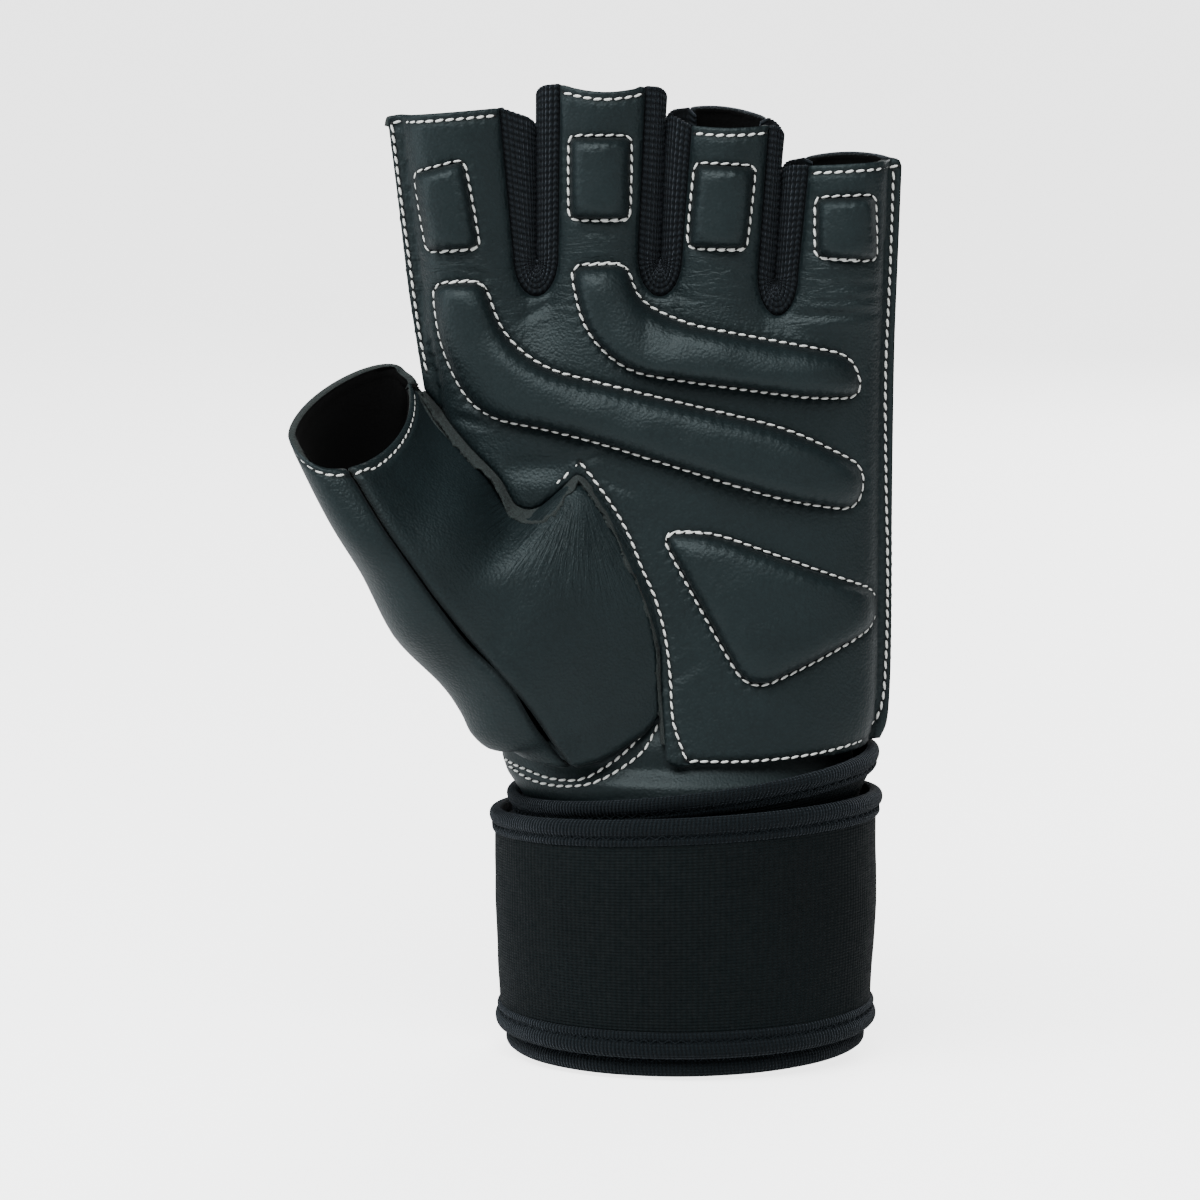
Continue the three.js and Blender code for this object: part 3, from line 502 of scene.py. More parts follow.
hide_group, given, result = new_group(
    "fine_goatskin",
    [("Colour", "Color", (0.02, 0.03, 0.03, 1)), ("Grain Scale", "Float", 1500), ("Grain Depth", "Float", 1),
     ("Folds", "Float", 0), ("Seam", "Float", 0)],
    [("Colour", "Color"), ("Roughness", "Float"), ("Height", "Float")],
)
pebbles = node(hide_group, "ShaderNodeTexVoronoi", {"feature": "SMOOTH_F1"}, Vector=on_piece(hide_group),
               Scale=given.outputs["Grain Scale"], Smoothness=0.55).outputs["Distance"]
pores = noise(hide_group, 2600, 3.0, 0.6)
patches = noise(hide_group, 55, 4.0, 0.55)
long_way = node(hide_group, "ShaderNodeMapping", Vector=on_piece(hide_group), Scale=(110, 110, 520))
wrinkles = noise(hide_group, 1, 3.0, 0.55, long_way.outputs[0], Distortion=0.7)
ridge = reckon(hide_group, "ABSOLUTE", reckon(hide_group, "SUBTRACT", wrinkles, 0.5))
fold = reckon(hide_group, "MULTIPLY", ranged(hide_group, ridge, 0.0, 0.09, 0.0, 1.0), given.outputs["Folds"])
grain = reckon(hide_group, "SUBTRACT", reckon(hide_group, "MULTIPLY", pores, 0.55), pebbles)
grain = reckon(hide_group, "MULTIPLY", grain, given.outputs["Grain Depth"])
height = reckon(hide_group, "ADD", grain, reckon(hide_group, "MULTIPLY", fold, 0.75))
hide_group.links.new(height, result.inputs["Height"])
tone = ranged(hide_group, patches, 0.3, 0.7, 0.82, 1.2)
# Near the seams the colour is darkened as painted shade in the stitched grooves, and the leather is rougher there too.
painted_seam_shade = ranged(hide_group, given.outputs["Seam"], 0.25, 1.0, 1.0, 0.3)
crack = ranged(hide_group, pebbles, 0.25, 0.75, 1.06, 0.8)
tone = reckon(hide_group, "MULTIPLY", reckon(hide_group, "MULTIPLY", tone, painted_seam_shade), crack)
hide_group.links.new(scaled_colour(hide_group, given.outputs["Colour"], tone), result.inputs["Colour"])
gloss = ranged(hide_group, patches, 0.3, 0.7, 0.45, 0.54)
gloss = reckon(hide_group, "ADD", gloss, reckon(hide_group, "MULTIPLY", given.outputs["Seam"], 0.2))
hide_group.links.new(gloss, result.inputs["Roughness"])


def new_material(name):
    material = bpy.data.materials.new(name)
    material.use_nodes = True
    return material, material.node_tree, material.node_tree.nodes["Principled BSDF"].inputs


def bumped(tree, height, distance, strength=1.0):
    """Sets a height on the material as fine relief, in metres."""
    bump = node(tree, "ShaderNodeBump", Strength=strength, Distance=distance, Height=height)
    tree.links.new(bump.outputs[0], tree.nodes["Principled BSDF"].inputs["Normal"])


def set_finish(shader, roughness=None, specular=None, sheen=None, sheen_tint=None):
    """Sets what is even over a whole surface on the shader's own sockets."""
    given_values = {"Roughness": roughness, "Specular IOR Level": specular, "Sheen Weight": sheen,
                    "Sheen Tint": sheen_tint}
    for label, value in given_values.items():
        if value is not None:
            shader[label].default_value = value


def attribute(tree, name):
    return node(tree, "ShaderNodeAttribute", {"attribute_name": name}).outputs["Fac"]


def leather_material(name, grain=1.0, scale=1700, colour=(0.0036, 0.0072, 0.008), fanned=False):
    """A goatskin finish. Pieces may carry the fields folds and seam, and a fanned one those of its fan. The seam field
    darkens the colour as painted shade in the seam grooves.
    """
    material, tree, shader = new_material(name)
    skin = tree.nodes.new("ShaderNodeGroup")
    skin.node_tree = hide_group
    skin.inputs["Colour"].default_value = (*colour, 1)
    skin.inputs["Grain Scale"].default_value = scale
    skin.inputs["Grain Depth"].default_value = grain
    tree.links.new(attribute(tree, "folds"), skin.inputs["Folds"])
    tree.links.new(attribute(tree, "seam"), skin.inputs["Seam"])
    height = skin.outputs["Height"]
    if fanned:
        fan = node(tree, "ShaderNodeCombineXYZ", X=attribute(tree, "fan_turn"), Y=attribute(tree, "fan_run"))
        lines = noise(tree, 1, 3.0, 0.6, fan.outputs[0])
        lines = ranged(tree, reckon(tree, "ABSOLUTE", reckon(tree, "SUBTRACT", lines, 0.5)), 0.0, 0.1, 0.0, 1.0)
        height = reckon(tree, "ADD", height, reckon(tree, "MULTIPLY", lines, attribute(tree, "fan_share")))
    tree.links.new(skin.outputs["Colour"], shader["Base Color"])
    tree.links.new(skin.outputs["Roughness"], shader["Roughness"])
    bumped(tree, height, 0.0001)
    set_finish(shader, specular=0.24, sheen=0.01, sheen_tint=(0.75, 0.9, 1.0, 1))
    shader["Specular Tint"].default_value = (0.84, 0.98, 1, 1)
    return material


palm_leather = leather_material("palm_goatskin")

# Cut edge of the leather: the pale, fuzzy middle of the hide.
raw_edge, tree, shader = new_material("cut_leather_edge")
fuzz = noise(tree, 2400, 4.0, 0.7)
shades = node(tree, "ShaderNodeValToRGB", Fac=fuzz)
for end, (position, colour) in enumerate([(0.32, (0.0015, 0.003, 0.003, 1)), (0.72, (0.022, 0.033, 0.031, 1))]):
    shades.color_ramp.elements[end].position = position
    shades.color_ramp.elements[end].color = colour
tree.links.new(shades.outputs[0], shader["Base Color"])
bumped(tree, fuzz, 0.0005)
set_finish(shader, roughness=0.95)

# Inner face of the leather, lined with black tricot.
lining, tree, shader = new_material("black_lining")
tree.links.new(ranged(tree, noise(tree, 2500, 3.0), 0.3, 0.7, 0.0006, 0.0022), shader["Base Color"])
set_finish(shader, roughness=1.0, specular=0.1)

panel = flat_sheet(palm_outline, 0.57)
places = np.array([(v.co.x, v.co.z) for v in panel.verts])
lift, groove_shade = palm_relief(places)
edge_in = to_outline(places, palm_outline)[0]
depth = outer_face(*places.T) + lift + creased(places) - 0.45 * bell(edge_in, 0.7)
for v, out in zip(panel.verts, depth):
    v.co.y = -out
finish_piece("palm_leather", panel, "palm_panel", [palm_leather, raw_edge, lining],
             {"folds": folding(places), "seam": groove_shade}, wall=leather_wall, lined=True)

# Pads: thin foam under a skin of the same goatskin, closed and crowned, sewn down all round. The leather
# dives into the row of stitches at the rim, which is why each pad starts below the palm's own face.
pad_heights = {name: 3.5 if name.startswith("finger") else 5.8 for name in pad_outlines}
pad_heights["heel_pad"] = 4.2


def crown(places, outline, full_at):
    """Height share of a stuffed pad over its outline: a stretched skin, flattened where it is full."""
    step = 0.6
    low, high = outline.min(0) - step, outline.max(0) + step
    xs, zs = np.arange(low[0], high[0] + step, step), np.arange(low[1], high[1] + step, step)
    grid = np.stack(np.meshgrid(xs, zs, indexing="ij"), 2)
    inside = (to_outline(grid.reshape(-1, 2), outline)[0] > 0).reshape(grid.shape[:2])
    skin = np.zeros(inside.shape)
    for _ in range(700):
        skin[1:-1, 1:-1] = (skin[2:, 1:-1] + skin[:-2, 1:-1] + skin[1:-1, 2:] + skin[1:-1, :-2] + 0.2) / 4
        skin *= inside
    at = (places - low) / step
    i = np.clip(at.astype(int), 0, np.array(inside.shape) - 2)
    t = at - i
    skin = ((skin[i[:, 0], i[:, 1]] * (1 - t[:, 0]) + skin[i[:, 0] + 1, i[:, 1]] * t[:, 0]) * (1 - t[:, 1])
            + (skin[i[:, 0], i[:, 1] + 1] * (1 - t[:, 0]) + skin[i[:, 0] + 1, i[:, 1] + 1] * t[:, 0]) * t[:, 1])
    share = np.clip(skin / (full_at * skin.max()), 0, 1)
    return np.sqrt(1 - (1 - share) ** 2)


def soft_waves(places, seed, size, waves=7, finest=1.6):
    """A gentle unevenness over places on a plane or in space, the same on every run."""
    turn = np.random.default_rng(seed)
    lift = np.zeros(places.shape[:-1])
    for _ in range(waves):
        way = turn.normal(size=places.shape[-1])
        way = way / np.linalg.norm(way) * turn.uniform(0.6, finest) / size
        lift += np.sin(places @ way * 2 * math.pi + turn.uniform(0, 6.3)) / waves
    return lift


pad_leather = leather_material("pad_goatskin", grain=0.9)
for index, (name, outline) in enumerate(pad_outlines.items()):
    made = flat_sheet(outline, 0.5)
    places = np.array([(v.co.x, v.co.z) for v in made.verts])
    inside, _, run = to_outline(places, outline)
    height = pad_heights[name] * crown(places, outline, 1.0 if name.startswith("palm") else 0.72)
    height += soft_waves(places, index, 14) * 0.35 * np.clip(inside / 3, 0, 1)
    pinch = np.cos(run * 2 * math.pi / stitch_pitch) + 0.5 * np.sin(run * 2 * math.pi / 7.3)
    height += 0.13 * pinch * bell(inside - 1.1, 1.0)
    height -= 0.75 * bell(inside, 0.6)
    face = outer_face(*places.T)
    top = made.verts[:]
    under = bmesh.ops.duplicate(made, geom=made.verts[:] + made.edges[:] + made.faces[:])
    below = [g for g in under["geom"] if isinstance(g, bmesh.types.BMVert)]
    for v, out in zip(top, face + height):
        v.co.y = -out
    for v, out in zip(below, outer_face(*np.array([(v.co.x, v.co.z) for v in below]).T)):
        v.co.y = 1.1 - out
    bmesh.ops.reverse_faces(made, faces=[g for g in under["geom"] if isinstance(g, bmesh.types.BMFace)])
    bmesh.ops.bridge_loops(made, edges=[e for e in made.edges if e.is_boundary])
    made.verts.index_update()
    order = [v.index for v in top]
    # The seam field darkens the colour as painted shade: in the groove at the pad's rim, and all over its hidden
    # underside.
    folds, groove_shade = np.zeros(len(made.verts)), np.ones(len(made.verts))
    folds[order] = 0.45 * bell(inside - 1.2, 1.2)
    groove_shade[order] = bell(inside, 0.75)
    piece = finish_piece(name + "_cover", made, name, [pad_leather], {"folds": folds, "seam": groove_shade})


# Stitches: white polyester thread, lock-stitched at 2.1 mm, pulled down into the leather between two
# needle holes. Where a round of stitches closes, the machine has sewn a few over each other.
thread_half = np.array([0.87, 0.27, 0.24])
hole_half = (0.3, 0.22, 0.16)
thread_sunk, hole_sunk = 0.06, 0.02

white_thread, tree, shader = new_material("white_thread")
strands = noise(tree, 3600)
thread_tone = node(tree, "ShaderNodeMix", {"data_type": "RGBA"}, Factor=ranged(tree, strands, 0.3, 0.75, 0.0, 1.0))
thread_tone.inputs[6].default_value = (0.5, 0.51, 0.49, 1)
thread_tone.inputs[7].default_value = (0.86, 0.87, 0.83, 1)
tree.links.new(thread_tone.outputs[2], shader["Base Color"])
bumped(tree, strands, 0.0001, 0.6)
set_finish(shader, roughness=0.6)

# Needle holes: small dark discs between the stitches, painted shade where the thread goes into the leather.
hole_shade, tree, shader = new_material("needle_hole_shade")
tree.links.new(ranged(tree, noise(tree, 3000), 0.3, 0.7, 0.0015, 0.005), shader["Base Color"])
set_finish(shader, roughness=0.95)


def sew(name, rows):
    """Stitches with dark discs between them as painted shade in their needle holes, along rows of (points, normals), in
    millimetres.
    """
    threads, holes = bmesh.new(), bmesh.new()
    chance = np.random.default_rng(len(name) + len(rows))
    for points, normals in rows:
        run = np.concatenate([[0], np.cumsum(np.linalg.norm(np.diff(points, axis=0), axis=1))])
        count = max(1, round(run[-1] / stitch_pitch))
        for k in range(2 * count + 1):
            at = run[-1] * k / (2 * count)
            here = [np.interp([at - 0.5, at, at + 0.5], run, points[:, c]) for c in range(3)]
            here = np.array(here).T
            up = np.array([np.interp(at, run, normals[:, c]) for c in range(3)])
            along = here[2] - here[0]
            along /= np.linalg.norm(along)
            up -= along * (up @ along)
            up /= np.linalg.norm(up)
            along = along + np.cross(up, along) * (0.14 + chance.normal() * 0.04)
            along /= np.linalg.norm(along)
            side = np.cross(up, along)
            stitch = k % 2 == 1
            half = thread_half * (1 + chance.normal(size=3) * 0.04) if stitch else hole_half
            middle = here[1] - up * (thread_sunk if stitch else hole_sunk)
            frame_at = Matrix([(*(a * half[0], b * half[1], c * half[2]), d)
                               for a, b, c, d in zip(along, side, up, middle)] + [(0, 0, 0, 1)])
            if stitch:
                bmesh.ops.create_uvsphere(threads, u_segments=8, v_segments=6, radius=1,
                                          matrix=frame_at @ Matrix.Rotation(math.pi / 2, 4, "Y"))
            else:
                bmesh.ops.create_uvsphere(holes, u_segments=6, v_segments=4, radius=1, matrix=frame_at)
    finish_piece(name + "_stitches", threads, None, [white_thread])
    finish_piece(name + "_needle_holes", holes, None, [hole_shade])


def on_palm(path, sunk=0.3):
    """Points of a path on the palm leather, a little below its plain face, with their normals."""
    h = 0.4
    x, z = np.asarray(path).T
    slope_x = (outer_face(x + h, z) - outer_face(x - h, z)) / (2 * h)
    slope_z = (outer_face(x, z + h) - outer_face(x, z - h)) / (2 * h)
    normals = np.stack([-slope_x, -np.ones_like(x), -slope_z], 1)
    normals /= np.linalg.norm(normals, axis=1)[:, None]
    points = np.stack([x, -outer_face(x, z), z], 1) - normals * sunk
    return points, normals


def beside(path, by):
    """The path moved sideways, to its right, by so many millimetres."""
    way = np.gradient(path, axis=0)
    way /= np.linalg.norm(way, axis=1)[:, None]
    return path + np.stack([way[:, 1], -way[:, 0]], 1) * by


sewn_over = {
    "finger_pad_index": (-0.47, 1.096), "finger_pad_middle": (-0.15, 1.16), "finger_pad_ring": (0.07, 1.1),
    "finger_pad_little": (0.3, 1.08), "palm_bar_upper": (-0.17, 1.067), "palm_bar_lower": (-0.45, 1.03),
    "heel_pad": (-0.01, 0.503),
}
for name, outline in pad_outlines.items():
    loop = curve_through(outline[::2], 0.5, closed=True)
    loop = np.concatenate([loop, loop[:1]])
    away = -0.35 if (loop[:-1, 0] * loop[1:, 1] - loop[1:, 0] * loop[:-1, 1]).sum() < 0 else 0.35
    loop = beside(loop, away)
    middle = int(np.argmin(np.linalg.norm(loop - hand_places([sewn_over[name]]), axis=1)))
    again = np.take(loop, range(middle - 8, middle + 8), axis=0, mode="wrap")
    sew(name, [on_palm(loop), on_palm(beside(again, 0.22), 0.05)])

for name, seam in panel_seams.items():
    sew(name, [on_palm(curve_through(seam, 0.5))])
sew("notch", [on_palm(curve_through(notch_seam, 0.5), 0.1)])

# Finger sides: three strips of ribbed nylon knit sewn between palm and back, each running down from one
# fingertip, round the crotch and up to the next. Their edges lie under the leather's cut edge.
knit_wall = 0.8
knit_under = 1.0
wale_width, course_height, wales = 1.25, 1.25, 21



def fabric_group(name, draw):
    """A weave as a shader group, from the height, colour scale and roughness that draw makes. The colour scale paints
    light and shade following the weave's relief.
    """
    group, given, result = new_group(name, [("Colour", "Color", (0.01, 0.01, 0.01, 1))],
                                     [("Colour", "Color"), ("Roughness", "Float"), ("Height", "Float")])
    height, painted_light_and_tone, rough = draw(group)
    group.links.new(height, result.inputs["Height"])
    group.links.new(scaled_colour(group, given.outputs["Colour"], painted_light_and_tone), result.inputs["Colour"])
    group.links.new(rough, result.inputs["Roughness"])
    return group


def run_along_and_across(tree):
    laid = node(tree, "ShaderNodeSeparateXYZ", Vector=on_piece(tree, "UV"))
    return laid.outputs[0], laid.outputs[1]


def rib_knit(tree):
    along, across = run_along_and_across(tree)
    wale = reckon(tree, "FRACT", reckon(tree, "DIVIDE", across, wale_width))
    from_middle = reckon(tree, "ABSOLUTE", reckon(tree, "SUBTRACT", wale, 0.5))
    course = reckon(tree, "DIVIDE", along, course_height)
    course = reckon(tree, "ADD", course, reckon(tree, "MULTIPLY", from_middle, 0.4))
    round_wale = reckon(tree, "SUBTRACT", 0.25, reckon(tree, "MULTIPLY", from_middle, from_middle))
    loops = reckon(tree, "ADD", reckon(tree, "MULTIPLY", waved(tree, course, 1.0), 1.3), 1.7)
    lint = noise(tree, 4200)
    height = reckon(tree, "ADD", reckon(tree, "MULTIPLY", loops, round_wale), reckon(tree, "MULTIPLY", lint, 0.25))
    # The colour follows the height: painted highlight on the loops and painted shade between the wales.
    return height, ranged(tree, height, 0.1, 0.85, 0.3, 1.9), ranged(tree, lint, 0.0, 1.0, 0.75, 0.95)


def fabric_material(name, draw, colour, depth, sheen):
    """A fabric finish from a weave, with the depth of its relief in metres."""
    material, tree, shader = new_material(name)
    weave = tree.nodes.new("ShaderNodeGroup")
    weave.node_tree = fabric_group(name + "_weave", draw)
    weave.inputs["Colour"].default_value = (*colour, 1)
    tree.links.new(weave.outputs["Colour"], shader["Base Color"])
    tree.links.new(weave.outputs["Roughness"], shader["Roughness"])
    bumped(tree, weave.outputs["Height"], depth)
    set_finish(shader, specular=0.12, sheen=sheen, sheen_tint=(0.75, 0.85, 1.0, 1))
    shader["Sheen Roughness"].default_value = 0.4
    return material


def laid_sheet(points, along, across, outward):
    """A grid laid through rows of points. UV is in millimetres: each point's run along and across."""
    rows, columns = points.shape[:2]
    along, across = np.broadcast_to(along, (rows, columns)), np.broadcast_to(across, (rows, columns))
    made = bmesh.new()
    bmesh.ops.create_grid(made, x_segments=rows - 1, y_segments=columns - 1, size=1)
    uv = made.loops.layers.uv.new("laid")
    order = []
    for v in made.verts:
        i, j = round((v.co.x + 1) / 2 * (rows - 1)), round((v.co.y + 1) / 2 * (columns - 1))
        order.append((i, j))
        v.co = points[i, j]
    made.verts.index_update()
    for face in made.faces:
        for loop in face.loops:
            at = order[loop.vert.index]
            loop[uv].uv = (along[at], across[at])
    made.normal_update()
    middle = next(v for v, at in zip(made.verts, order) if at == (rows // 2, columns // 2))
    if middle.normal @ Vector(outward) < 0:
        bmesh.ops.reverse_faces(made, faces=made.faces)
    return made, tuple(np.array(order).T)


knit_material = fabric_material("ribbed_nylon_knit", rib_knit, (0.004, 0.0056, 0.007), 0.00045, sheen=0.08)
for i, between in enumerate(["index_middle", "middle_ring", "ring_little"]):
    edge, slit = crotch_path(i, 0)
    back_edge = crotch_path(i, 0, True)[0]
    run = np.concatenate([[0], np.cumsum(np.hypot(*np.diff(edge, axis=0).T))])
    even = np.linspace(0, run[-1], 210)
    edge, slit, back_edge = (np.stack([np.interp(even, run, line[:, c]) for c in range(2)], 1)
                             for line in (edge, slit, back_edge))
    deep_front = outer_face(*edge.T) - knit_under
    deep_back = outer_face(*back_edge.T, False) - knit_under
    turn = np.linspace(0, math.pi, 127)
    bulge = (np.sin(turn) ** 0.72)[None, :, None]
    front_half = (turn <= math.pi / 2)[None, :]
    start = np.where(front_half[:, :, None], edge[:, None], back_edge[:, None])
    flat = start + (slit[:, None] - start) * bulge
    swing = np.cos(turn)
    deep = np.where(front_half, deep_front[:, None], deep_back[:, None]) * -np.sign(swing) * np.abs(swing) ** 0.72
    points = np.stack([flat[:, :, 0], deep, flat[:, :, 1]], 2)
    cross_way = np.gradient(points, axis=1)
    normal = np.cross(np.gradient(points, axis=0), cross_way)
    normal /= np.linalg.norm(normal, axis=2)[:, :, None]
    if normal[5, 2] @ (0, 1, 0) > 0:
        normal = -normal
    wide = np.cumsum(np.linalg.norm(cross_way, axis=2), axis=1)
    share = (wide - wide[:, :1]) / (wide[:, -1:] - wide[:, :1]) * wales
    points += normal * (0.3 * np.abs(np.sin(share * math.pi)) ** 0.8 - 0.12)[:, :, None]
    from_end = np.minimum(even, run[-1] - even)
    from_slit = np.linalg.norm(flat - slit[:, None], axis=2)
    corner = np.clip(1 - from_slit / 2.2, 0, 1) ** 2
    points[:, :, 2] -= 2.2 * (1 - np.sqrt(1 - corner)) * np.clip(1 - from_end / 6, 0, 1)[:, None]
    away = np.stack([edge[:, 0] - slit[:, 0], np.zeros(len(edge)), edge[:, 1] - slit[:, 1]], 1)
    away /= np.linalg.norm(away, axis=1)[:, None]
    tuck = away[:, None] * 1.6 - (0, 0, 0.9) * bell(from_end, 2.5)[:, None, None]
    points = np.concatenate([points[:, :1] + tuck + (0, 0.9, 0), points, points[:, -1:] + tuck - (0, 0.9, 0)], 1)
    share = np.concatenate([share[:, :1] - 0.5, share, share[:, -1:] + 0.5], 1)
    made, order = laid_sheet(points, even[:, None], share * wale_width, (0, 0, 0))
    spot = next(v for v, i, j in zip(made.verts, *order) if (i, j) == (40, 30))
    if spot.normal @ Vector(normal[40, 29]) < 0:  # a plain spot, where the knit's own way out is sure
        bmesh.ops.reverse_faces(made, faces=made.faces)
    side = finish_piece("knit_" + between, made, "fourchette_" + between, [knit_material], wall=knit_wall)

# Back of the glove: one panel of plain stretch fabric with a soft lining, cut like the palm but with its own
# seam towards the thumb. It is sewn to the palm's edge and the knitted sides, and swells over the knuckles.
back_hem = hand_places([(0.398, 0.034), (0.3, 0.03), (-0.1, 0.03), (-0.355, 0.03)])
thumb_seam = hand_places([(-0.36, 0.03), (-0.42, 0.28), (-0.475, 0.5), (-0.52, 0.68), (-0.545, 0.79)])
back_outline = np.concatenate([
    finger_side(True)[1:-1],
    curve_through(hand_places(right_side)),
    curve_through(back_hem)[1:],
    curve_through(thumb_seam)[1:],
    curve_through(hand_places(left_side[:-1]))[1:],
])


def stretch_weave(tree):
    cells = node(tree, "ShaderNodeTexVoronoi", {"feature": "F1", "distance": "MANHATTAN"}, Vector=on_piece(tree),
                 Scale=1300, Randomness=0.6).outputs["Distance"]
    drift = ranged(tree, noise(tree, 70, 3.0), 0.3, 0.7, 0.85, 1.15)
    # Darker in the hollows of the cells and lighter on their tops: painted shade and highlight, with a random drift in
    # tone.
    painted_light_and_tone = reckon(tree, "MULTIPLY", ranged(tree, cells, 0.1, 0.9, 1.3, 0.5), drift)
    return reckon(tree, "MULTIPLY", cells, -1.0), painted_light_and_tone, ranged(tree, cells, 0.0, 1.0, 0.7, 0.95)


back_fabric = fabric_material("stretch_back_fabric", stretch_weave, (0.007, 0.0095, 0.0105), 0.0002, sheen=0.1)
made = flat_sheet(back_outline, 0.8)
bmesh.ops.reverse_faces(made, faces=made.faces)
places = np.array([(v.co.x, v.co.z) for v in made.verts])
edge_in = to_outline(places, back_outline)[0]
knuckles = sum(bell(places[:, 0] - hand_width * x, 9) * bell(places[:, 1] - crotch_line + 14, 9)
               for x in (-0.45, -0.18, 0.06, 0.32))
back_lift = 1.2 * knuckles + 0.35 * soft_waves(places, 31, 22) - 0.7 * bell(edge_in, 0.9)
back_lift = back_lift - 0.25 * bell(edge_in - 2.4, 0.5)
for v, out in zip(made.verts, outer_face(*places.T, False) + back_lift):
    v.co.y = out
back = finish_piece("back_fabric", made, "back_panel", [back_fabric, back_fabric, lining],
                    wall=leather_wall, lined=True)

# Thumb: two pieces of goatskin, a full front and a back, sewn together down the outer side with black
# thread and set into the palm's hole. The front's edge lies under the palm, the back's meets the back panel.
thumb_depth = 13
# Rings from the rim to the hem: where each leaves the palm and its outer silhouette, both as shares of
# hand_width, palm_length and thumb_depth, then the half axis towards the viewer in shares of thumb_depth,
# the place of its end on the back's thumb seam, and the turns where it starts and where the leathers part.
thumb_rings = [
    ((-0.572, 0.812, -0.3), (-0.812, 0.727, -2.3), (0.3, -1.15, -0.7), None, 0, 0.29),
    ((-0.515, 0.715, -0.6), (-0.735, 0.55, -2.0), (0.4, -1.64, -0.77), 0.76, 0.06, 0.287),
    ((-0.437, 0.641, -1.0), (-0.68, 0.45, -1.6), (0.3, -1.87, -0.65), 0.69, 0.09, 0.298),
    ((-0.337, 0.538, -1.2), (-0.614, 0.316, -1.2), (0, -2.15, -0.54), 0.6, 0.12, 0.2915),
    ((-0.235, 0.61, -1.26), (-0.531, 0.196, -0.85), (-0.1, -2.05, -0.76), 0.49, 0.13, 0.3165),
    ((-0.167, 0.525, -1.32), (-0.49, 0.143, -0.7), (-0.3, -2.23, -0.96), 0.4, 0.14, 0.3055),
    ((-0.113, 0.415, -1.4), (-0.465, 0.11, -0.54), (-0.55, -2.18, -1.22), 0.31, 0.14, 0.2835),
    ((-0.084, 0.32, -1.44), (-0.439, 0.072, -0.4), (-0.6, -1.86, -1.18), 0.22, 0.13, 0.269),
    ((-0.07, 0.2, -1.5), (-0.416, 0.04, -0.23), (-0.5, -1.43, -0.74), 0.125, 0.11, 0.2575),
    ((-0.072, 0.118, -1.55), (-0.414, 0.031, -0.15), (-0.35, -1.19, -0.67), 0.035, 0.09, 0.2365),
]
rim_rear = np.array([0, -1, -0.45]) * thumb_depth


def ring_side(x, up, deep):
    return np.array([hand_width * x, deep * thumb_depth, wrist_seam + palm_length * up])


def ring_points(ring, turns):
    """Points of a ring: turn 0.5 is the outer silhouette and 1 the seam behind."""
    right, left = ring_side(*ring[0]), ring_side(*ring[1])
    front = np.array(ring[2]) * thumb_depth
    start, angle = 2 * math.pi * ring[4], 2 * math.pi * turns
    half = (right - left - front * math.sin(start)) / (1 + math.cos(start))
    middle = left + half
    ahead = middle + half * np.cos(angle)[:, None] + front * np.sin(angle)[:, None]
    if ring[3] is None:
        behind = middle + half * np.cos(angle)[:, None] + rim_rear * np.sin(angle)[:, None]
    else:
        seam_x = np.interp(ring[3], [0.03, 0.28, 0.5, 0.68, 0.79], [-0.36, -0.42, -0.475, -0.52, -0.545])
        seam_x = hand_width * seam_x - 2 * clearance
        seam_z = wrist_seam + palm_length * ring[3]
        swing = math.pi * (turns - 0.5)
        deep = float(outer_face(seam_x + 2 * clearance, seam_z, False))
        behind = np.stack([left[0] + (seam_x - left[0]) * (1 - np.cos(swing)),
                           left[1] + (deep - left[1]) * np.sin(swing),
                           left[2] + (seam_z - left[2]) * (1 - np.cos(swing))], 1)
    return np.where(turns[:, None] <= 0.5, ahead, behind)


def thumb_grid(begin, end, rows, columns):
    """Evenly spaced rows of points over the thumb between two turns of each ring, rim first."""
    share = np.linspace(0, 1, columns)
    rings = np.array([ring_points(ring, b + (e - b) * share) for ring, b, e in zip(thumb_rings, begin, end)])
    run = np.concatenate([[0], np.cumsum(np.linalg.norm(np.diff(rings.mean(1), axis=0), axis=1))])
    at = np.linspace(0, run[-1], rows)
    grid = np.array([[eased(at, run, rings[:, j, c]) for c in range(3)] for j in range(columns)])
    return grid.transpose(2, 0, 1)


def grid_normals(grid, outward):
    normal = np.cross(np.gradient(grid, axis=0), np.gradient(grid, axis=1))
    normal /= np.linalg.norm(normal, axis=2)[:, :, None] + 1e-9
    i, j = grid.shape[0] // 2, grid.shape[1] // 2
    return normal if normal[i, j] @ outward > 0 else -normal


def runs_of(grid):
    """Distances in millimetres from a grid's first and last row, and from its first and last column."""
    down = np.cumsum(np.linalg.norm(np.diff(grid, axis=0, prepend=grid[:1]), axis=2), axis=0)
    along = np.cumsum(np.linalg.norm(np.diff(grid, axis=1, prepend=grid[:, :1]), axis=2), axis=1)
    return down, down[-1:] - down, along, along[:, -1:] - along


def curved_waves(points, seed, size):
    return soft_waves(points, seed, size, waves=9, finest=1.7)


thumb_leather = leather_material("thumb_goatskin", fanned=True)
notch = np.array([hand_width * -0.225, -16, wrist_seam + palm_length * 0.62])
half_parting, rim_sewn_at = 0.002, 1.8
start_turns = [ring[4] for ring in thumb_rings]
partings = [ring[5] for ring in thumb_rings]

hem_line = hand_places([
    (-0.434, 0.0755), (-0.42, 0.0575), (-0.401, 0.0457), (-0.3755, 0.0255), (-0.343, 0.0128), (-0.307, 0.0043),
    (-0.265, 0.001), (-0.2306, 0.001), (-0.1776, 0.0149), (-0.143, 0.0383), (-0.1, 0.0734), (-0.0776, 0.104),
    (-0.0653, 0.1234),
])


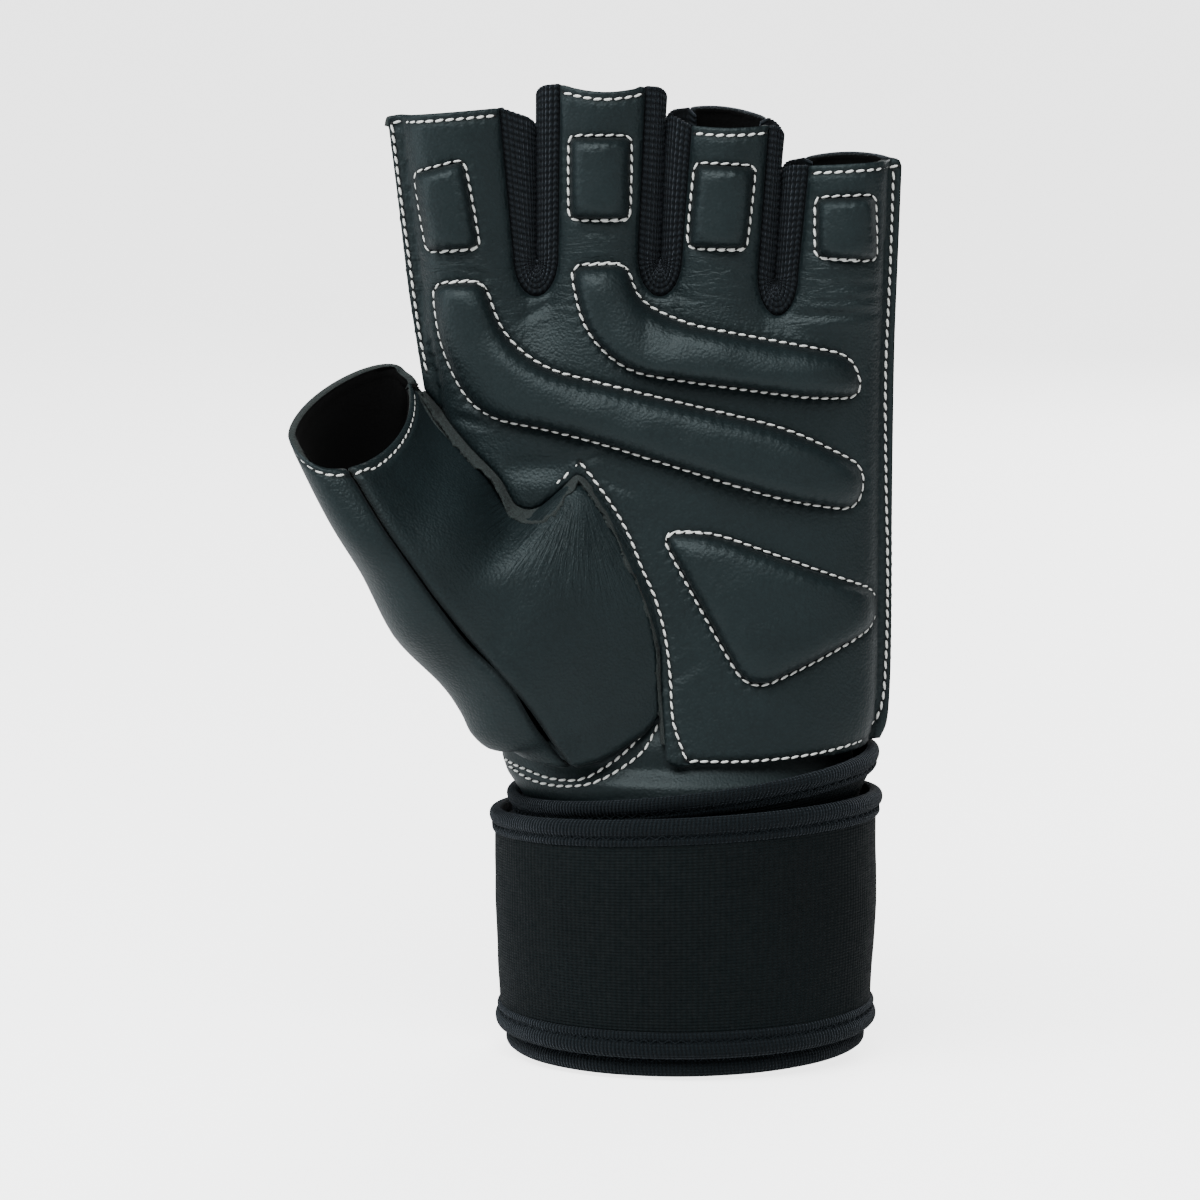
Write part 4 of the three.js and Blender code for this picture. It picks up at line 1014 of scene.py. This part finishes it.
def draw_hem(grid, hold):
    """Draws a leather's lowest rows down to the thumb's hem, by a share for each column, and in to the wrist."""
    down = np.linspace(0, 1, len(grid))[:, None]
    goal = np.interp(grid[-1, :, 0], *hem_line.T)
    grid[:, :, 2] += smooth((down - 0.72) / 0.28) * (goal - grid[-1, :, 2]) * hold
    grid[:, :, 1] += 1.6 * smooth((down - 0.88) / 0.12) * hold


def sewn_rims(from_parting, from_rim, from_hem):
    """Nearness of a thumb leather's seams, which darkens the colour as painted shade in their grooves, and how far it
    sinks and swells beside its parting and its rim.
    """
    groove_shade = np.maximum.reduce([bell(from_parting, 0.9), bell(from_rim - rim_sewn_at, 0.6), bell(from_hem, 0.9)])
    lift = 0.16 * bell(from_parting - 2.2, 1.6) - 0.6 * bell(from_parting, 0.6)
    return groove_shade, lift - 0.5 * bell(from_rim, 0.6) - 0.35 * bell(from_rim - rim_sewn_at, 0.55)


# The front, with a fan of creases from the notch between palm and thumb.
grid = thumb_grid(start_turns, [turn - half_parting for turn in partings], 190, 96)
draw_hem(grid, 1)
down = np.linspace(0, 1, len(grid))[:, None]
grid[:, :, 0] += 1.5 * smooth((down - 0.4) / 0.25) * smooth(1 - runs_of(grid)[2] / 14)
normals = grid_normals(grid, (0, -1, 0))
from_rim, from_hem, from_palm, from_parting = runs_of(grid)
groove_shade, lift = sewn_rims(from_parting, from_rim, from_hem)
lift += 0.15 * bell(from_rim - 3.2, 1.0) - 1.1 * bell(from_hem, 0.9) + 0.3 * curved_waves(grid, 5, 34)
reach = grid - notch
away = np.linalg.norm(reach, axis=2)
swing = np.arctan2(reach[:, :, 0], -reach[:, :, 2])
spokes = 0.55 * np.sin(swing * 9 + 0.6 * np.sin(away / 7)) + 0.45 * np.sin(swing * 17 + 1.3)
lift += 0.12 * spokes * bell(away - 13, 11) * smooth((away - 3) / 5)
grid = grid + normals * lift[:, :, None]
thumb_front_grid = grid.copy()
# Its edge sinks under the palm's cut edge, and two more columns carry it on, out of sight.
sunk = smooth(1 - from_palm / 2.2) * np.where(from_rim > 26, 1, smooth((from_rim - 14) / 12))
grid[:, :, 1] += 1.1 * sunk
edge_way = grid[:, 0] - grid[:, 3]
edge_way /= np.linalg.norm(edge_way, axis=1)[:, None]
under_by = np.array([2.4, 1.2]) * (0.08 + smooth((from_rim[:, :1] - 16) / 9))
under = grid[:, :1] + edge_way[:, None] * under_by[:, :, None]
under[:, :, 1] = np.maximum(under[:, :, 1], -outer_face(under[:, :, 0], under[:, :, 2]) + leather_wall + 0.4)
under[:, :, 1] = np.where((from_rim > 24)[:, :1], under[:, :, 1], grid[:, :1, 1] + 0.4)
grid = np.concatenate([under, grid], 1)
two_more = ((0, 0), (2, 0))
groove_shade = np.pad(groove_shade, two_more)
away, swing = (np.pad(field, two_more, mode="edge") for field in (away, swing))
made, order = laid_sheet(grid, 0, 0, (0, -1, 0))
folds = 0.08 + 0.1 * bell(away - 10, 14)
fan = {"fan_turn": (swing * 13)[order], "fan_run": (away * 0.06)[order],
       "fan_share": (1.3 * bell(away - 14, 10) * smooth((away - 3) / 6))[order]}
finish_piece("thumb_front_leather", made, "thumb_front", [thumb_leather, raw_edge, lining],
             {"folds": folds[order], "seam": groove_shade[order], **fan}, wall=leather_wall, lined=True)

# The back, from the parting round the outer side to the back panel, which covers its last columns.
grid = thumb_grid([turn + half_parting for turn in partings], [0.985] * len(partings), 150, 84)
round_thumb = np.linspace(0, 1, grid.shape[1])
hold = smooth((0.55 - round_thumb) / 0.25)
draw_hem(grid, hold)
inward = smooth((wrist_seam + palm_length * 0.3 - grid[:, :, 2]) / 14)
grid[:, :, 0] += 2.2 * inward * smooth((hand_width * -0.3 - grid[:, :, 0]) / 12) * np.maximum(hold, 0.001) ** 0.4
tail = smooth((round_thumb - 0.93) / 0.07)
grid[:, :, 0] += 1.6 * tail
grid[:, :, 1] -= 1.5 * tail
normals = grid_normals(grid, (-1, 0, 0))
from_rim, from_hem, from_parting, from_back = runs_of(grid)
groove_shade, lift = sewn_rims(from_parting, from_rim, from_hem)
lift += 0.35 * curved_waves(grid, 8, 32) - 0.8 * bell(from_hem, 0.9) - 0.4 * bell(from_back, 0.9)
grid = grid + normals * lift[:, :, None]
thumb_back_grid = grid
made, order = laid_sheet(grid, 0, 0, (-1, 0, 0))
folds = 0.12 + 0.3 * bell(from_parting - 5, 5)
finish_piece("thumb_back_leather", made, "thumb_back", [thumb_leather, raw_edge, lining],
             {"folds": folds[order], "seam": groove_shade[order]}, wall=leather_wall, lined=True)


def below_rim(surface, first, last, outward):
    """A row of points along the thumb's rim seam, between two columns of a leather's grid."""
    normal = grid_normals(surface, outward)
    down = runs_of(surface)[0]
    columns = np.arange(first, last)
    level = np.argmin(np.abs(down - rim_sewn_at), axis=0)[columns]
    return surface[level, columns], normal[level, columns]


sew("thumb_rim", [below_rim(thumb_front_grid, 5, 95, (0, -1, 0)), below_rim(thumb_back_grid, 2, 62, (-1, 0, 0))])

# Turned edge along the thumb: a narrow strip of the hide's rough side, which shows between palm and thumb
# from the side seam round the notch down to the wrist and is left raw.
turned = curve_through(thumb_hole[:13], 0.5)
across = np.linspace(0, 1, 9)
outward = np.gradient(turned, axis=0)
outward = np.stack([outward[:, 1], -outward[:, 0]], 1) / np.linalg.norm(outward, axis=1)[:, None]
width = np.interp(np.linspace(0, 1, len(turned)), [0, 0.05, 0.1, 0.2, 0.26, 0.33, 0.4, 0.47, 0.6, 1],
                  [0.3, 1.2, 2.0, 1.4, 1.8, 2.3, 1.7, 1.1, 0.8, 0.8])
ragged = np.random.default_rng(4).normal(size=len(turned))
width = width * (1 + 0.14 * np.convolve(ragged, np.ones(3) / 3, "same"))
strip_x = turned[:, None, 0] + outward[:, None, 0] * across * width[:, None]
strip_z = turned[:, None, 1] + outward[:, None, 1] * across * width[:, None]
under = thumb_front_grid[::2, ::2].reshape(-1, 3)
near = [np.argmin((under[:, 0] - x) ** 2 + (under[:, 2] - z) ** 2) for x, z in zip(strip_x.flat, strip_z.flat)]
palm_y = -outer_face(turned[:, :1], turned[:, 1:])
far_y = np.minimum(under[near, 1].reshape(strip_x.shape) - 0.35, palm_y + 1.6)
strip_y = palm_y + 0.5 + (far_y - palm_y - 0.5) * smooth(across) - 0.5 * np.sin(across * math.pi)
grid = np.stack([strip_x, strip_y, strip_z], 2)
grid[:, :, 1] -= 0.3 * curved_waves(grid, 3, 2.5)
made, _ = laid_sheet(grid, 0, 0, (0, -1, 0))
finish_piece("turned_hide_edge", made, None, [raw_edge], wall=0.8)

# Wrist band: a ring of smooth leather that joins glove and wrap. It runs from under the palm's hem and the
# thumb down inside the wrap, and two rows of white stitches hold the thumb's lower edge to it.
wrist_half_width, wrist_half_depth = 30.5, 21.5
# Rows: height as a share of wrist_seam, then what is added to the inside of the wrist at the left, at the
# right, in front and behind.
band_rows = np.array([(0.6, 0, 0, 0, 0), (0.77, 0.2, 0, 0, 0), (0.87, 1.9, 1.1, 0, 0), (0.945, 5, 2, -0.8, -2),
                      (0.995, 6, 1.6, -3.4, -5.5), (1.07, 6, 1.6, -3.6, -5.5), (1.3, 6, 1.6, -3.6, -5.5)])


def band_point(angle, z, out=0.0):
    """A point of the band's outer face at an angle, where 0 is the little-finger side and the front is below 0."""
    left, right, front, back = (np.interp(z / wrist_seam, band_rows[:, 0], band_rows[:, c]) for c in (1, 2, 3, 4))
    leftward, frontward = smooth((1 - np.cos(angle) * 3) / 2), smooth((1 - np.sin(angle) * 3) / 2)
    wide = wrist_half_width + leather_wall + right + (left - right) * leftward
    deep = wrist_half_depth + leather_wall + back + (front - back) * frontward
    return np.stack([(wide + out) * np.cos(angle), (deep + out) * np.sin(angle), z + 0 * angle], -1)


def band_inward(z):
    """How far the band's upper front edge is drawn back under the thumb."""
    return 2.2 * smooth((z - wrist_seam * 1.05) / 6)


angle = np.linspace(0, -2 * math.pi, 190)
share = np.linspace(0, 1, 46)
band_foot = wrist_seam * 0.6
band_top = wrist_seam * (1.065 + 0.16 * bell(np.angle(np.exp(1j * (angle + 1.85))), 0.34))
heights = band_foot + (band_top[:, None] - band_foot) * share
grid = band_point(angle[:, None] + 0 * heights, heights)
grid += grid_normals(grid, (-1, 0, 0)) * (0.15 * curved_waves(grid, 12, 22))[:, :, None]
grid[:, :, 1] += band_inward(heights) * (grid[:, :, 1] < 0)
# Smooth leather with a finer grain, darker than the goatskin as painted shade: its front faces up into more light.
shaded_band_leather = leather_material("shaded_band_leather", grain=0.6, scale=1900, colour=(0.0028, 0.0058, 0.0064))
made, _ = laid_sheet(grid, 0, 0, (-1, 0, 0))
bmesh.ops.remove_doubles(made, verts=[v for v in made.verts if v.is_boundary], dist=0.001)
finish_piece("wrist_band_leather", made, "wrist_band", [shaded_band_leather], wall=leather_wall)

thumb_hem_rows = [
    [(-0.381, 0.988), (-0.34, 0.973), (-0.28, 0.954), (-0.219, 0.962), (-0.159, 1.0165), (-0.121, 1.07),
     (-0.066, 1.163)],
    [(-0.3715, 0.97), (-0.322, 0.94), (-0.255, 0.934), (-0.183, 0.961), (-0.1, 1.05), (-0.063, 1.142)],
]
rows = []
for row in thumb_hem_rows:
    line = curve_through(np.array([(hand_width * x, wrist_seam * up) for x, up in row]), 0.5)
    round_front = np.linspace(-math.pi, 0, 600)
    at = np.array([np.interp(x, band_point(round_front, z)[:, 0], round_front) for x, z in line])
    points = band_point(at, line[:, 1], 0.15)
    points[:, 1] += band_inward(line[:, 1])
    normals = np.stack([np.cos(at), np.sin(at), 0.25 + 0 * at], 1)
    rows.append((points, normals / np.linalg.norm(normals, axis=1)[:, None]))
sew("thumb_hem", rows)

# Wrist wrap: one strap of elastic webbing, 47 mm wide and near three turns long, sewn to the band at the
# back and wound outwards. Its first turn lies high over the band, its second low and its last between.
strap_width, strap_wall, strap_gap, strap_turns, binding_width = 47, 1.6, 0.5, 2.95, 5
strap_start = math.pi * 0.55
# Rows: turn, lower edge, how much higher the little-finger side lies at the foot and the head, and the
# same for the front.
strap_rows = np.array([(0, 12, 4.7, 4.7, 0, -1), (0.82, 12, 4.7, 4.7, 0, -1), (1.18, 1.6, 0.5, 0.5, -1.5, 0),
                       (1.82, 1.6, 0.5, 0.5, -1.5, 0), (2.15, 5.6, 0.4, 2, -1.4, 0.9), (3, 5.6, 0.4, 2, -1.4, 0.9)])


def strap_place(turn, out, share):
    """A point of the wound strap: turns from its sewn end, way out from its inner face, share of its width."""
    angle = strap_start - 2 * math.pi * turn
    low, foot_tilt, head_tilt, foot_rise, head_rise = (
        np.interp(turn, strap_rows[:, 0], strap_rows[:, c]) for c in range(1, 6))
    z = low + strap_width * share + (foot_tilt + (head_tilt - foot_tilt) * share) * np.cos(angle)
    z = z - (foot_rise + (head_rise - foot_rise) * share) * np.sin(angle)
    flare = 3.6 * np.clip((z - strap_width - 3) / 9.5, 0, 1) ** 1.5 * (turn < 1.3)
    taper = 1.3 * smooth((wrist_seam * 0.6 - z) / (wrist_seam * 0.65))
    grow = leather_wall + clearance + (strap_wall + strap_gap) * turn + out + flare - taper
    return np.stack([(wrist_half_width + grow) * np.cos(angle), (wrist_half_depth + grow) * np.sin(angle), z], -1)


def elastic_webbing(tree):
    along, across = run_along_and_across(tree)
    loose = noise(tree, 800, 3.0)
    wander = reckon(tree, "MULTIPLY", loose, 1.6)
    cord = reckon(tree, "ADD", reckon(tree, "MULTIPLY", across, 2 * math.pi / 0.62), wander)
    warp = reckon(tree, "ADD", reckon(tree, "MULTIPLY", along, 2 * math.pi / 0.95), wander)
    height = reckon(tree, "ADD", reckon(tree, "MULTIPLY", reckon(tree, "SINE", cord), 0.5),
                    reckon(tree, "MULTIPLY", reckon(tree, "SINE", warp), 0.4))
    height = reckon(tree, "ADD", height, reckon(tree, "MULTIPLY", loose, 0.5))
    broad = ranged(tree, noise(tree, 40, 3.0), 0.3, 0.7, 0.85, 1.15)
    # The colour follows the height: painted highlight on the cords and painted shade between them, with a broad random
    # tone.
    painted_light_and_tone = reckon(tree, "MULTIPLY", ranged(tree, height, -0.7, 1.1, 0.55, 1.5), broad)
    return height, painted_light_and_tone, ranged(tree, loose, 0.2, 0.8, 0.72, 0.95)


webbing = fabric_material("elastic_webbing", elastic_webbing, (0.0008, 0.0024, 0.0028), 0.00012, sheen=0.01)

mean_radius, under_binding = 33, 1.5
strap_length = 2 * math.pi * mean_radius * strap_turns
turns = np.linspace(0, strap_turns, 560)
webbing_edge = (binding_width - under_binding) / strap_width
shares = np.linspace(webbing_edge, 1 - webbing_edge, 58)
outer = strap_place(turns[:, None], strap_wall, shares[None])
sag = 0.3 * curved_waves(outer, 21, 24) + 0.15 * np.sin(shares * math.pi)[None] * curved_waves(outer, 22, 9)
outer = strap_place(turns[:, None], strap_wall - 0.15 + sag, shares[None])
made, _ = laid_sheet(outer, strap_length * turns[:, None] / strap_turns, strap_width * shares[None], (0, 0, 0))
made.faces.ensure_lookup_table()
middle = made.faces[len(made.faces) // 2]
if middle.normal @ Vector((*middle.calc_center_median().xy, 0)) < 0:
    bmesh.ops.reverse_faces(made, faces=made.faces)
strap = finish_piece("wrap_webbing", made, "wrap_strap", [webbing], wall=1.3)

# Bindings: knitted tape folded over both edges of the strap and sewn through with a zigzag, so that each
# shows a full roll at the edge, a sewn line and a thin roll beside the webbing.
def knitted_tape(tree):
    along, across = run_along_and_across(tree)
    loose = noise(tree, 1500, 3.0)
    slant = reckon(tree, "ADD", along, reckon(tree, "MULTIPLY", across, 0.1))
    rib = reckon(tree, "ADD", reckon(tree, "MULTIPLY", slant, 2 * math.pi / 0.72), reckon(tree, "MULTIPLY", loose, 2.2))
    height = reckon(tree, "ADD", reckon(tree, "MULTIPLY", reckon(tree, "SINE", rib), 0.6),
                    reckon(tree, "MULTIPLY", waved(tree, across, 0.6), 0.25))
    height = reckon(tree, "ADD", height, reckon(tree, "MULTIPLY", loose, 0.7))
    # The colour follows the height: painted highlight on the ribs and painted shade between them.
    return height, ranged(tree, height, -0.6, 1.2, 0.4, 1.7), ranged(tree, loose, 0.2, 0.8, 0.75, 0.98)


binding_tape = fabric_material("knitted_binding_tape", knitted_tape, (0.0016, 0.0032, 0.0042), 0.00018, sheen=0.06)

# Cross-section of a binding, from its outer lower edge over the roll at the strap's edge to inside:
# way out from the strap's inner face and place along the width from the strap's edge, in millimetres.
tape_section = [(1.3, 5.3), (1.75, 5.15), (2.05, 4.6), (2.05, 4.1), (1.72, 3.65), (1.72, 3.45), (2.2, 3.0),
                (2.55, 2.2), (2.5, 1.1), (2.0, 0.35), (1.2, 0.02), (0.2, 0.3), (-0.12, 1.0), (-0.15, 3.4), (0.3, 4.6),
                (0.9, 5.2)]
section = curve_through(np.array(tape_section), 0.42, closed=True)
along = np.linspace(0, strap_turns, 620)[:, None]
zigzag_at, zigzag_half, zigzag_step = 3.55, 0.42, 0.0052
for name, is_top in (("top", True), ("bottom", False)):
    puff = 1 + 0.05 * np.sin(along * 61) * np.sin(along * 23)
    out = section[None, :, 0] * np.where(section[None, :, 0] > 1.4, puff, 1)
    share = section[None, :, 1] / strap_width
    grid = strap_place(along, out, 1 - share if is_top else share)
    grid = np.concatenate([grid, grid[:, :1]], 1)
    made, _ = laid_sheet(grid, strap_length * along / strap_turns, np.linspace(0, 13, grid.shape[1])[None], (0, 0, 0))
    bmesh.ops.remove_doubles(made, verts=[v for v in made.verts if v.is_boundary], dist=0.0005)
    bmesh.ops.holes_fill(made, edges=[e for e in made.edges if e.is_boundary], sides=0)
    bmesh.ops.recalc_face_normals(made, faces=made.faces)
    finish_piece("wrap_binding_tape_" + name, made, "wrap_binding_" + name, [binding_tape])
    # The zigzag that sews the tape down: dark thread in the groove between its two rolls.
    steps = np.arange(0, strap_turns - 0.01, zigzag_step)
    zig = zigzag_at + zigzag_half * (np.arange(len(steps)) % 2 * 2 - 1)
    zigzag = strap_place(steps, 1.92, 1 - zig / strap_width if is_top else zig / strap_width)
    path = bpy.data.curves.new("zigzag_" + name, "CURVE")
    path.dimensions = "3D"
    path.bevel_depth = 0.00016
    path.bevel_resolution = 1
    spline = path.splines.new("POLY")
    spline.points.add(len(zigzag) - 1)
    spline.points.foreach_set("co", np.concatenate([zigzag * 0.001, np.ones((len(zigzag), 1))], 1).ravel())
    path.materials.append(binding_tape)
    drawn = bpy.data.objects.new("binding_zigzag_" + name, path)
    bpy.context.scene.collection.objects.link(drawn)
    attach(drawn, "root")

# Tab: the wrap's plain end, 34 mm wide, of stretch fabric over hook-and-loop tape. It is sewn on the
# strap's outer end at the back and reaches a little past it, with its free end slightly rounded.
tab_half, tab_start, tab_end, tab_round = 17, strap_turns - 0.05, strap_turns + 0.1, 0.022
turns = np.linspace(tab_start, tab_end, 44)
shares = np.linspace(0.5 - tab_half / strap_width, 0.5 + tab_half / strap_width, 48)
round_in = np.clip((turns - tab_end + tab_round) / tab_round, 0, 1)[:, None]
shares = 0.5 + (shares[None] - 0.5) * (1 - 0.18 * round_in**2)
grid = strap_place(turns[:, None], 2 * strap_wall + clearance, shares)
made, _ = laid_sheet(grid, 0, 0, (0, 1, 0))
finish_piece("wrap_tab_fabric", made, "wrap_tab", [back_fabric], wall=1.5)


# Floor and light: a plain white floor, a wide soft key light above at the left, a weak fill at the right, a
# low light along the left edge and one behind, which the back is seen by.
floor_mesh = bpy.data.meshes.new("floor")
made = bmesh.new()
bmesh.ops.create_grid(made, x_segments=1, y_segments=1, size=30)
bmesh.ops.translate(made, vec=(0, 20, -0.0006), verts=made.verts)
made.to_mesh(floor_mesh)
made.free()
floor = bpy.data.objects.new("floor", floor_mesh)
bpy.context.scene.collection.objects.link(floor)
paper, tree, shader = new_material("white_paper")
shader["Base Color"].default_value = (0.88, 0.88, 0.88, 1)
shader["Emission Color"].default_value = (1, 1, 1, 1)
set_finish(shader, roughness=0.6)
seen = reckon(tree, "MULTIPLY", node(tree, "ShaderNodeLightPath").outputs["Is Camera Ray"], 3.0)
tree.links.new(seen, shader["Emission Strength"])
floor_mesh.materials.append(paper)
glove_middle = Vector((-0.01, 0, 0.1))


def soft_light(name, power, size, place, colour=(1, 1, 1)):
    lamp = bpy.data.lights.new(name, "AREA")
    lamp.shape = "RECTANGLE"
    lamp.size, lamp.size_y = size
    lamp.energy = power
    lamp.color = colour
    made = bpy.data.objects.new(name, lamp)
    made.location = place
    made.rotation_euler = (glove_middle - Vector(place)).to_track_quat("-Z", "Y").to_euler()
    bpy.context.scene.collection.objects.link(made)


soft_light("key", 38, (1.5, 0.6), (-0.35, -0.7, 1.1), colour=(0.97, 0.99, 1.0))
soft_light("fill", 2.4, (0.7, 0.9), (0.9, -0.6, 0.45))
soft_light("rim_left", 6, (0.4, 0.9), (-0.9, -0.1, 0.35), colour=(0.9, 0.96, 1.0))
soft_light("behind", 12, (0.8, 0.8), (0.5, 1.1, 0.7))
world = bpy.data.worlds.new("studio")
bpy.context.scene.world = world
world.use_nodes = True
world.node_tree.nodes["Background"].inputs[0].default_value = (0.93, 0.96, 1.0, 1)
world.node_tree.nodes["Background"].inputs[1].default_value = 0.1
